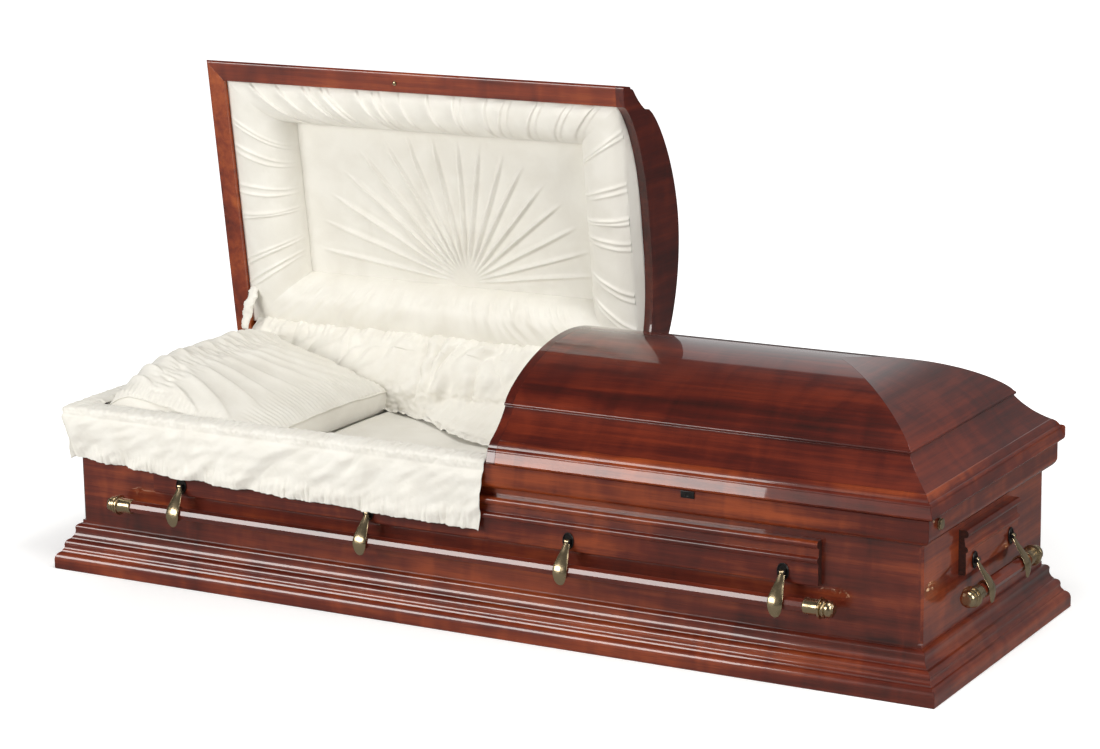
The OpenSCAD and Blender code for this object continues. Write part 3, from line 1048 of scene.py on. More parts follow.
def turned(name: str, section: Sequence[Pair], steps: int = 40) -> bpy.types.Object:
    """Turn a section round the X axis into a closed piece.

    Args:
        name: Name of the piece.
        section: Points as place along X and radius, from one pole to the other.
        steps: Number of steps round.

    Returns:
        The turned piece.
    """
    deselect()
    bpy.ops.mesh.primitive_circle_add(vertices=len(section), radius=1, fill_type="NOTHING")
    piece = bpy.context.object
    call(piece, name)
    for corner, (x, r) in zip(piece.data.vertices, section):
        corner.co = (x, 0, max(r, 0.0))
    last = len(section) - 1
    take(piece)
    bpy.ops.object.mode_set(mode="EDIT")
    bpy.ops.mesh.select_mode(type="EDGE")
    bpy.ops.mesh.select_all(action="DESELECT")
    bpy.ops.object.mode_set(mode="OBJECT")
    for edge in piece.data.edges:
        edge.select = set(edge.vertices) == {0, last}
    bpy.ops.object.mode_set(mode="EDIT")
    bpy.ops.mesh.delete(type="EDGE_FACE")
    bpy.ops.mesh.select_all(action="SELECT")
    bpy.ops.mesh.spin(steps=steps, angle=math.tau, center=(0, 0, 0), axis=(1, 0, 0))
    bpy.ops.mesh.select_all(action="SELECT")
    bpy.ops.mesh.remove_doubles(threshold=1e-5)
    bpy.ops.mesh.normals_make_consistent(inside=False)
    bpy.ops.object.mode_set(mode="OBJECT")
    bpy.ops.object.shade_smooth_by_angle(angle=math.radians(38))
    return piece


@dataclass
class Handle:
    """A swing bar handle: an eight-sided wooden bar with brass caps, on arms that hang from black sockets."""

    side: Side
    half: float
    pitch: float
    count: int
    shift: float = 0.0
    pivot_out: float = 0.022
    pivot_z: float = 0.222
    bar_out: float = 0.038
    bar_z: float = 0.166
    bar_r: float = 0.014
    cap_l: float = 0.064
    arm_t: float = 0.007
    arm_l: float = 0.084
    socket_in: float = 0.006
    facets: int = 8

    @property
    def place(self) -> Matrix:
        """The move from a handle drawn about its pivot, outward along -Y, to its side."""
        if self.side in (Side.FRONT, Side.BACK):
            spun = Matrix.Translation((0, FACE_IN - HALF_W - self.pivot_out, self.pivot_z))
            return spun if self.side is Side.FRONT else Matrix.Scale(-1, 4, (0, 1, 0)) @ spun
        spun = Matrix.Rotation(math.pi / 2, 4, "Z") @ Matrix.Translation(
            (0, FACE_IN - HALF_L - self.pivot_out, self.pivot_z))
        return spun if self.side is Side.FOOT else Matrix.Scale(-1, 4, (1, 0, 0)) @ spun

    @property
    def drop(self) -> Pair:
        """How far out and up the bar's axis lies from the pivot."""
        return self.bar_out - self.pivot_out, self.bar_z - self.pivot_z

    def seats(self) -> list[float]:
        """Where the arms stand along the bar."""
        return [(k - (self.count - 1) / 2) * self.pitch for k in range(self.count)]

    def bar(self, palette: Palette) -> None:
        """Turn the wooden bar and its two ringed caps.

        Args:
            palette: The casket's finishes.
        """
        seat = Matrix.Translation((self.shift, -self.drop[0], self.drop[1]))
        reach, r = self.half - self.cap_l, self.bar_r
        tenon = reach + 0.010
        wood = turned("bar", [(-tenon, 0), (-tenon, r), (tenon, r), (tenon, 0)], self.facets)
        ease(wood, 0.0007)
        coat(wood, palette.cherry(palette.bar, self.side.grain))
        ring = [
            (0, 0), (0, .0150), (.0015, .0160), (.0060, .0163), (.0180, .0158), (.0290, .0162),
            (.0318, .0172), (.0328, .0178), (.0332, .0205), (.0340, .0219), (.0362, .0219), (.0372, .0205),
            (.0376, .0166), (.0402, .0164), (.0408, .0186), (.0418, .0194), (.0446, .0194), (.0456, .0184),
            (.0460, .0154), (.0482, .0154), (.0490, .0166), (.0520, .0171), (.0560, .0168), (.0600, .0150),
            (.0618, .0118), (.0626, .0106), (.0634, .0096), (.0634, 0)]
        cap = turned("cap", ring)
        coat(cap, palette.brass)
        left = twin(cap, "cap", Matrix.Scale(-1, 4, (1, 0, 0)) @ Matrix.Translation((reach, 0, 0)))
        settle(cap, Matrix.Translation((reach, 0, 0)))
        for piece, word, slot in ((wood, "bar", Slot.CHERRY), (cap, "cap_right", Slot.BRASS),
                                  (left, "cap_left", Slot.BRASS)):
            settle(piece, self.place @ seat)
            call(piece, f"{self.side.value}_handle_{word}")
            fit(piece, self.side.handle, slot, f"bar_{self.side.value}")

    def middle(self, t: float) -> tuple[Pair, Pair]:
        """Follow the middle line of an arm, which slants out from its eye and hangs in front of the bar.

        Args:
            t: Share down the arm.

        Returns:
            The place and the outward normal there, as distance out and height.
        """
        reach = (self.drop[0] + self.bar_r + self.arm_t / 2) * 1000 + 0.5
        line = [(0, 0), (4.5, -8), (12, -20), (21, -32), (reach - 5, -44), (reach - 1, -54), (reach, -64),
                (reach - 1, -self.arm_l * 1000)]
        want = -t * self.arm_l * 1000
        k = next((i for i in range(len(line) - 2) if line[i + 1][1] <= want), len(line) - 2)
        ends = [line[max(0, k - 1)], line[k], line[k + 1], line[min(len(line) - 1, k + 2)]]
        share = (want - ends[1][1]) / (ends[2][1] - ends[1][1])
        slope = [(ends[j + 2][0] - ends[j][0]) / (ends[j + 2][1] - ends[j][1]) for j in (0, 1)]
        lean = slope[0] + (slope[1] - slope[0]) * share
        rise = share * share * (3 - 2 * share)
        bend = (1 - share) * slope[0] - share * slope[1]
        out = ends[1][0] + (ends[2][0] - ends[1][0]) * rise
        out += (ends[2][1] - ends[1][1]) * share * (1 - share) * bend
        size = math.hypot(1, lean)
        return (out / 1000, want / 1000), (1 / size, -lean / size)

    def arm(self) -> bpy.types.Object:
        """Shape an arm: a teardrop blade with a faint ridge, the eye at its top and the clip on the bar."""

        def place(s: float, t: float) -> Vector:
            """Find the blade's surface for a share round its section and a share down it."""
            (out, up), (nx, nz) = self.middle(t)
            tip = max(0.0, (t - 0.66) / 0.34)
            half = (0.0050 + 0.0112 * smooth(t, -0.12, 0.62)) * math.sqrt(max(0.0, 1 - tip * tip))
            c, side = math.cos(math.tau * s), math.sin(math.tau * s)
            thick = self.arm_t / 2 * (0.72 + 0.28 * smooth(t, 0.1, 0.6)) * math.sqrt(max(0.0, 1 - tip ** 4))
            swell = (1 - abs(c) ** 2.0) ** 0.75 * thick * (0.86 + 0.14 * ridge(c, 0.16, 0.16))
            off = swell if side > 0 else -swell * 0.8
            return Vector((half * c, -out - nx * off, up + nz * off))

        blade = sew(spread("blade", 28, 44, place), near=1e-5)
        eye = turned("eye", [(-.0045, 0), (-.0045, .0042), (-.0037, .0049), (.0037, .0049), (.0045, .0042),
                             (.0045, 0)], 24)
        r = self.bar_r
        clip = turned("clip", [(-.007, r), (-.007, r + .0020), (-.0055, r + .0025), (.0055, r + .0025),
                               (.007, r + .0020), (.007, r), (-.007, r)], 32)
        settle(clip, Matrix.Translation((0, -self.drop[0], self.drop[1])))
        return join("arm", [blade, eye, clip])

    def socket(self, palette: Palette) -> bpy.types.Object:
        """Shape the black oval socket on the panel that an arm turns in, with its two cheeks and a rivet.

        Args:
            palette: The casket's finishes.

        Returns:
            The socket, drawn about the arm's pivot.
        """
        rim = turned("socket", [(-.0010, 0), (-.0010, .0124), (.0020, .0130), (.0029, .0124), (.0030, .0112),
                                (.0012, .0098), (.0008, 0)], 40)
        outward = Matrix.Rotation(-math.pi / 2, 4, "Z")
        settle(rim, Matrix.Translation((0, self.socket_in, 0)) @ Matrix.Diagonal((1, 1, 1.38, 1)) @ outward)
        cheeks = [settle(turned("cheek", [(-.0011, 0), (-.0011, .0046), (-.0005, .0052), (.0005, .0052),
                                          (.0011, .0046), (.0011, 0)], 24),
                         Matrix.Translation((x, .0015, 0)) @ Matrix.Diagonal((1, 1.28, 1, 1)))
                  for x in (-.0062, .0062)]
        rivet = settle(turned("rivet", [(0, 0), (0, .0026), (.0008, .0023), (.0013, .0012), (.0015, 0)], 20),
                       Matrix.Translation((0.0052, self.socket_in - .0012, -0.0128)) @ outward)
        coat(rim, palette.black)
        coat(rivet, palette.brass)
        for cheek in cheeks:
            coat(cheek, palette.black)
        return join("mount", [rim, *cheeks, rivet])

    def build(self, palette: Palette) -> None:
        """Build the bar, the arms and their sockets.

        Args:
            palette: The casket's finishes.
        """
        self.bar(palette)
        arm = self.arm()
        coat(arm, palette.brass)
        mount = self.socket(palette)
        for k, s in enumerate(self.seats(), 1):
            move = self.place @ Matrix.Translation((s, 0, 0))
            fit(twin(arm, f"{self.side.value}_handle_arm_{k}", move), self.side.handle, Slot.BRASS,
                f"arm_{self.side.value}_{k}")
            fit(twin(mount, f"{self.side.value}_handle_socket_{k}", move), Body.CASKET, Slot.BLACK)
        for spare in (arm, mount):
            bpy.data.objects.remove(spare)


@dataclass
class Fittings:
    """The small metal parts: hinges, the tube cap, the latch and the stud."""

    tube_y: float = -0.290
    tube_z: float = 0.346

    def build(self, palette: Palette) -> None:
        """Dress the hinges and build the cap, the latch and the stud.

        Args:
            palette: The casket's finishes.
        """
        for lid in ("head", "foot"):
            for leaf in ("body", "lid"):
                coat(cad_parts[f"{lid}_hinge_{leaf}_leaf"], palette.brass)
        cap = turned("memorial_tube_cap", [(0, 0), (0, .007), (.014, .007), (.0142, .0108), (.0150, .0115),
                                           (.0165, .0115), (.0174, .0104), (.0176, .0074), (.0186, .0074),
                                           (.0190, .0104), (.0198, .0113), (.0212, .0108), (.0219, .0085),
                                           (.0216, .0060), (.0220, .0040), (.0220, 0)])
        coat(cap, palette.brass)
        settle(cap, Matrix.Translation((HALF_L - RAIL_IN - 0.014, self.tube_y, self.tube_z)))
        fit(cap, Body.CASKET, Slot.BRASS, "tube_cap")
        stud = turned("lid_stud", [(0, 0), (0, .005), (.0026, .005), (.0036, .0040), (.0040, .0020),
                                   (.0040, 0)], 28)
        coat(stud, palette.brass)
        settle(stud, stand_open() @ Matrix.Translation((-0.525, NOSE_IN + 0.025 - HALF_W, LID_Z)) @
               Matrix.Rotation(math.pi / 2, 4, "Y"))
        fit(stud, Body.HEAD_LID, Slot.BRASS, "catch_stud")
        self.latch(palette)

    def latch(self, palette: Palette) -> None:
        """Build the small black latch plate with its slotted screw barrel.

        Args:
            palette: The casket's finishes.
        """
        low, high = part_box("lid_catch")
        middle, size = (low + high) / 2, high - low
        deselect()
        bpy.ops.mesh.primitive_cube_add(size=1, location=middle)
        plate = bpy.context.object
        plate.scale = (size.x, size.y * 0.6, size.z)
        settle(plate)
        plate.location.y = size.y * 0.2
        settle(plate)
        edit(plate, lambda face: face.normal.y < -0.9)
        bpy.ops.mesh.inset(thickness=0.0022)
        bpy.ops.transform.translate(value=(0, -0.0008, 0))
        bpy.ops.object.mode_set(mode="OBJECT")
        ease(plate, 0.0005)
        barrel = turned("barrel", [(0, 0), (0, .0052), (.0016, .0050), (.0022, .0042), (.0014, .0030),
                                   (.0014, 0)], 24)
        settle(barrel, Matrix.Translation((middle.x, middle.y + 0.0004, middle.z)) @
               Matrix.Rotation(-math.pi / 2, 4, "Z"))
        latch = join("lid_latch", [plate, barrel])
        coat(latch, palette.black)
        fit(latch, Body.CASKET, Slot.BLACK, "lid_catch")


# ---------------------------------------------------------------- soft furnishings


def ridge(d: float, near: float, far: float) -> float:
    """Height of a fold across its crest, from 0 to 1.

    Args:
        d: Distance from the crest.
        near: Width of its side below zero.
        far: Width of its side above zero.

    Returns:
        The height.
    """
    return math.exp(-(d / (near if d < 0 else far)) ** 2)


def smooth(x: float, low: float, high: float) -> float:
    """Rise smoothly from 0 at low to 1 at high."""
    t = min(1.0, max(0.0, (x - low) / (high - low)))
    return t * t * (3 - 2 * t)


def rumple(x: float, y: float, seed: float = 0.0) -> float:
    """Soft noise between about -1 and 1 at a place on a cloth."""
    return 1.6 * noise.noise(Vector((x, y, seed)))


def spread(name: str, columns: int, rows: int, place: Callable[[float, float], Vector]) -> bpy.types.Object:
    """Lay out a cloth as a grid and move each of its points to its place.

    Args:
        name: Name of the cloth.
        columns: Number of faces along it.
        rows: Number of faces across it.
        place: Gives the place for shares 0 to 1 along and across.

    Returns:
        The cloth, with its UV map in those shares.
    """
    deselect()
    bpy.ops.mesh.primitive_grid_add(x_subdivisions=columns, y_subdivisions=rows, size=2)
    cloth = bpy.context.object
    call(cloth, name)
    for point in cloth.data.vertices:
        point.co = place((point.co.x + 1) / 2, (point.co.y + 1) / 2)
    return cloth


def sew(cloth: bpy.types.Object, thickness: float = 0.0, near: float = 2e-4) -> bpy.types.Object:
    """Close a cloth's seams, face it outward, thicken it if asked and shade it smooth.

    Args:
        cloth: The cloth.
        thickness: Its thickness, in metres; 0 leaves it as it is.
        near: How near two points must be to be sewn together.

    Returns:
        The same cloth.
    """
    edit(cloth)
    bpy.ops.mesh.remove_doubles(threshold=near)
    bpy.ops.mesh.dissolve_degenerate(threshold=1e-6)
    bpy.ops.mesh.select_all(action="SELECT")
    bpy.ops.mesh.normals_make_consistent(inside=False)
    bpy.ops.object.mode_set(mode="OBJECT")
    if thickness:
        apply_modifier(cloth, "SOLIDIFY", thickness=thickness, offset=0.0, use_rim=True)
    take(cloth)
    bpy.ops.object.shade_smooth()
    return cloth


@dataclass
class LidLining:
    """The head lid's lining: four pleated rolls round a recessed panel with a sunburst of folds."""

    left: float = -0.9930
    right: float = 0.0360
    front: float = -0.3050
    back: float = 0.2840
    inner_left: float = -0.853
    inner_right: float = -0.090
    inner_front: float = -0.196
    inner_back: float = 0.168
    rays: int = 17
    focus: Pair = (-0.427, 0.159)

    @staticmethod
    def swell(t: float, deep: float = 0.008) -> float:
        """Depth of a roll's face behind the lid's underside, from its outer edge to its inner edge.

        Args:
            t: Share across the roll.
            deep: How much deeper than its crest its outer edge lies.

        Returns:
            The depth.
        """
        if t < 0.3:
            return 0.004 + deep * ((0.3 - t) / 0.3) ** 2
        s = min(1.0, (t - 0.3) / 0.7)
        return 0.004 + (RECESS - 0.004) * (1 - max(0.0, 1 - s ** 3.0) ** 0.62)

    def pleats(self, run: str, s: float, t: float, length: float, marks: Sequence[Triple]) -> float:
        """Height of the folds sewn across a roll.

        Args:
            run: The roll's side.
            s: Share along the roll.
            t: Share across it, from its outer to its inner edge.
            length: Its length.
            marks: Each fold's share along the roll, its slant and its height.

        Returns:
            How far the cloth stands out, in metres.
        """
        lift, x = 0.0, s * length
        for at, slant, height in marks:
            if run == "front":
                d = x - at * length - slant * t ** 2.0
                arch = 0.35 + 0.65 * math.sin(math.pi * min(1, t * 0.92 + 0.08))
                lift += height * ridge(d, 0.022, 0.0022) * arch
            else:
                d = x - at * length - slant * math.sin(math.pi * t)
                lift += height * ridge(d, 0.0060, 0.0022) * math.sin(math.pi * min(1, t * 0.9 + 0.10)) ** 0.3
        if run == "back":
            lift += 0.0022 * rumple(x * 42 + 0.8 * rumple(x * 6, t * 2, 3.0), t * 1.6, 5.0)
            lift += 0.0014 * rumple(x * 130, t * 5, 9.0) * smooth(t, 0.55, 0.8)
        return lift + 0.0010 * rumple(x * 12, t * 2.0, 2.0)

    def corner_lines(self, run: str) -> tuple[Pair, Pair, Pair, Pair]:
        """The outer and inner ends of one roll, first end then last end."""
        fl, fr = (self.left, self.front), (self.right, self.front)
        bl, br = (self.left, self.back), (self.right, self.back)
        il, ir = (self.inner_left, self.inner_front), (self.inner_right, self.inner_front)
        jl, jr = (self.inner_left, self.inner_back), (self.inner_right, self.inner_back)
        return {"front": (fl, il, fr, ir), "right": (fr, ir, br, jr),
                "back": (bl, jl, br, jr), "left": (fl, il, bl, jl)}[run]

    def roll(self, run: str, count: int, rng: random.Random) -> bpy.types.Object:
        """Lay one padded roll, with its flat outer side and its back.

        Args:
            run: The roll's side.
            count: Number of folds across it.
            rng: Where its folds' spacing comes from.

        Returns:
            The roll, open at its mitres.
        """
        (ax, ay), (bx, by), (cx, cy), (dx, dy) = self.corner_lines(run)
        length = math.hypot(cx - ax, cy - ay)
        marks = []
        for k in range(count):
            at = (k + 0.9 + rng.uniform(-0.24, 0.24)) / (count + 0.9)
            if run == "front":
                marks.append((at, 0.050 + rng.uniform(-0.012, 0.016), 0.0066 * rng.uniform(0.8, 1.2)))
                if rng.random() < 0.45:
                    marks.append((at + 0.016, 0.060, 0.0036))
            elif run != "back":
                for step in (0.0, rng.uniform(0.018, 0.030)):
                    marks.append((at + step, rng.uniform(-0.004, 0.004), 0.0036 * rng.uniform(0.8, 1.15)))

        def place(s: float, r: float) -> Vector:
            """Find the roll's surface for a share along it and a share round its section."""
            deep = 0.008 + 0.012 * smooth(min(s, 1 - s) * length, 0.02, 0.09) * (run == "right")
            if r < 0.76:
                q = r / 0.76
                t = 1 - (1 - q) ** 1.45
                depth = self.swell(t, deep)
                fade = min(1.0, 12 * min(s, 1 - s) + 0.15) * (1 - smooth(t, 0.97, 1.0))
                fade *= 1.0 if run == "right" else smooth(t, 0, 0.06)
                depth = max(-0.004, depth - fade * self.pleats(run, s, t, length, marks))
            elif r < 0.88:
                t, depth = 1 - (r - 0.76) / 0.12, RECESS
            else:
                t, depth = 0.0, RECESS + (self.swell(0, deep) - RECESS) * (r - 0.88) / 0.12
            x = (ax + (cx - ax) * s) * (1 - t) + (bx + (dx - bx) * s) * t
            y = (ay + (cy - ay) * s) * (1 - t) + (by + (dy - by) * s) * t
            return Vector((x, y, LID_Z + depth))

        columns = round(length / (0.0016 if run == "front" else 0.0024))
        return spread(run, columns, 50, place)

    def rolls(self, palette: Palette) -> None:
        """Sew the four rolls into one ring and hang it in the open lid.

        Args:
            palette: The casket's finishes.
        """
        rng = random.Random(11)
        ring = join("head_lid_rolls", [self.roll("front", 14, rng), self.roll("right", 6, rng),
                                       self.roll("back", 0, rng), self.roll("left", 6, rng)])
        sew(ring, near=0.0006)
        settle(ring, stand_open())
        coat(ring, palette.satin)
        fit(ring, Body.HEAD_LID, Slot.SATIN, "head_lining_rolls")

    def panel(self, palette: Palette) -> None:
        """Lay the recessed panel with its folds fanned out from the foot of its middle.

        Args:
            palette: The casket's finishes.
        """
        x0, x1 = self.inner_left - 0.014, self.inner_right + 0.014
        y0, y1 = self.inner_front - 0.014, self.inner_back + 0.014
        rng = random.Random(5)
        bends = [rng.uniform(-1.2, 1.2) for _ in range(self.rays)]
        step = 165.5 / (self.rays - 1)

        def place(s: float, t: float) -> Vector:
            """Find the panel's surface for shares along it and up it."""
            x, y = x0 + (x1 - x0) * s, y0 + (y1 - y0) * t
            dx, dy = x - self.focus[0], self.focus[1] - y
            r = math.hypot(dx, dy)
            turn = math.degrees(math.atan2(dy, -dx)) - 7.5
            if turn < -90:
                turn += 360
            lift = 0.0
            near_ray = round(turn / step)
            for k in (near_ray - 1, near_ray, near_ray + 1):
                if not 0 <= k < self.rays or r < 1e-4:
                    continue
                far = 0.405 - 0.055 * min(1.0, max(0.0, (k - 4) / 4))
                away = math.radians(turn - k * step - bends[k] * math.sin(r * 8)) * r
                wide = min(0.0048, 0.24 * math.radians(step) * r + 0.0003)
                high = 0.0080 * smooth(r, 0.0, 0.10) * (1 - smooth(r, far * 0.78, far))
                lift += high * ridge(away, wide, wide * 0.42)
                lift -= 0.0016 * smooth(r, 0.02, 0.1) * (1 - smooth(r, far * 0.6, far)) * ridge(
                    away - wide * 1.7, wide * 1.2, wide * 1.2)
            lift += 0.0010 * rumple(x * 11, y * 11, 4.0)
            return Vector((x, y, LID_Z + RECESS - 0.003 - lift))

        cloth = sew(spread("head_lid_sunburst", 300, 156, place), 0.0012)
        settle(cloth, stand_open())
        coat(cloth, palette.satin)
        fit(cloth, Body.HEAD_LID, Slot.SATIN, "head_lining_panel")

    def build(self, palette: Palette) -> None:
        """Build the rolls and the panel."""
        self.rolls(palette)
        self.panel(palette)


@dataclass
class BodyLining:
    """The padded walls inside the casket and the gathered skirt that joins them to the head lid."""

    inset: float = 0.095
    low: float = 0.0165
    high: float = 0.3595

    def wall(self, side: Side, seed: float) -> bpy.types.Object:
        """Lay one padded wall as a loop: its gathered face, rounded top, flat back and foot.

        Args:
            side: The side that it lines.
            seed: Tells its folds from the other walls' folds.

        Returns:
            The wall, open at its mitres.
        """
        start, stop = -side.reach, side.reach

        def place(s: float, r: float) -> Vector:
            """Find the wall's surface for a share along it and a share round its section."""
            thick = self.inset - BODY_IN
            if r < 0.62:
                z = self.low + (self.high - 0.014 - self.low) * (r / 0.62) ** 0.55
                inset = self.inset
            elif r < 0.78:
                a = math.pi * (r - 0.62) / 0.16
                z = self.high - 0.014 + 0.014 * math.sin(a)
                inset = BODY_IN + thick / 2 + thick / 2 * math.cos(a)
            elif r < 0.92:
                z, inset = self.high - 0.014 - (self.high - 0.014 - self.low) * (r - 0.78) / 0.14, BODY_IN
            else:
                z, inset = self.low, BODY_IN + thick * (r - 0.92) / 0.08
            along = start + inset + (stop - start - 2 * inset) * s
            if r < 0.74 and z > self.low + 0.02:
                gather = 0.0022 * rumple(along * 95 + seed, z * 9, seed) * (0.4 + 0.6 * smooth(z, 0.24, 0.33))
                soft = 0.0035 * rumple(along * 17 + z * 12, z * 14, seed + 4)
                edge = min(1.0, 10 * min(s, 1 - s))
                inset = inset + edge * (gather + soft - 0.004)
            return side.spot(along, inset + 0.0006, z)

        return spread(f"wall_{side.value}", round(side.reach * 2 / 0.0045), 56, place)

    def walls(self, palette: Palette) -> None:
        """Sew the four walls into one padded ring.

        Args:
            palette: The casket's finishes.
        """
        ring = join("body_lining_walls", [self.wall(side, 7.0 * k) for k, side in enumerate(Side, 1)])
        sew(ring, near=0.0008)
        coat(ring, palette.crepe)
        fit(ring, Body.CASKET, Slot.SATIN, "body_lining")

    def skirt(self, palette: Palette) -> None:
        """Hang the crepe skirt that runs from the open lid's lowest roll down to the bed.

        Args:
            palette: The casket's finishes.
        """
        line = [(.350, .440), (.3385, .4290), (.3310, .4180), (.3150, .3990), (.2930, .3790), (.2720, .3560),
                (.2610, .3350), (.2560, .3100), (.2535, .2860), (.2500, .2775), (.2380, .2765)]
        sizes = [math.dist(a, b) for a, b in zip(line, line[1:])]
        total = sum(sizes)
        x0, x1 = -0.975, 0.052

        def middle(t: float) -> tuple[float, float, float, float]:
            """The skirt's section at a share down it, and its outward normal."""
            want, k = t * total, 0
            while k < len(sizes) - 1 and want > sizes[k]:
                want -= sizes[k]
                k += 1
            u = want / sizes[k]
            (y0, z0), (y1, z1) = line[k], line[k + 1]
            before, after = line[max(0, k - 1)], line[min(len(line) - 1, k + 2)]
            d0 = ((y1 - before[0]) / 2, (z1 - before[1]) / 2)
            d1 = ((after[0] - y0) / 2, (after[1] - z0) / 2)
            h1, h2, h3, h4 = (2 * u**3 - 3 * u**2 + 1, u**3 - 2 * u**2 + u, 3 * u**2 - 2 * u**3, u**3 - u**2)
            y = h1 * y0 + h2 * d0[0] + h3 * y1 + h4 * d1[0]
            z = h1 * z0 + h2 * d0[1] + h3 * z1 + h4 * d1[1]
            ty, tz = y1 - y0, z1 - z0
            size = math.hypot(ty, tz)
            return y, z, tz / size, -ty / size

        def place(s: float, t: float) -> Vector:
            """Find the skirt's surface for a share along it and a share down it."""
            x = x0 + (x1 - x0) * s
            y, z, ny, nz = middle(t)
            bunch = 0.5 + 0.5 * rumple(x * 7, t * 1.2, 1.0)
            lean = x * 13 + t * 2.2 * rumple(x * 4, 1.5, 8.0) + 0.6 * rumple(x * 6, t * 2, 6.0)
            fold = 0.0210 * abs(rumple(lean * 1.5, t * 1.4, 2.5)) ** 0.8 * (0.5 + 0.8 * bunch)
            crepe = 0.0052 * rumple(x * 34 + 3 * t, t * 6.5 + x * 7, 3.3)
            gather = 0.0034 * rumple(x * 95, t * 3, 5.5) * (1 - smooth(t, 0.04, 0.30))
            shirr = smooth(t, 0.60, 0.72) * 0.0026 * rumple(x * 80, t * 22, 7.7)
            body = smooth(t, 0.0, 0.16) * (1 - 0.75 * smooth(t, 0.66, 0.82))
            off = 0.002 + fold * body + crepe * (0.3 + 0.7 * body) + gather + shirr
            ripple = 0.002 * rumple(x * 26, 0, 4.4) * (1 - smooth(t, 0, 0.2))
            lie = smooth(t, 0.72, 1.0)
            ahead = 0.20 * smooth(x, -0.55, -0.12) * lie * (1 + 0.12 * rumple(x * 6, 0.4, 9.0))
            flat = 0.0012 * smooth(x, -0.55, -0.2) * lie
            return Vector((x, y + ny * off - ahead, z + nz * off + ripple + flat))

        cloth = sew(spread("lining_skirt", 440, 100, place), 0.0012)
        coat(cloth, palette.crepe)
        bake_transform(cloth)
        LOG.info("lining_skirt bends between casket and head_lid")

    def build(self, palette: Palette) -> None:
        """Build the padded walls and the skirt."""
        self.walls(palette)
        self.skirt(palette)


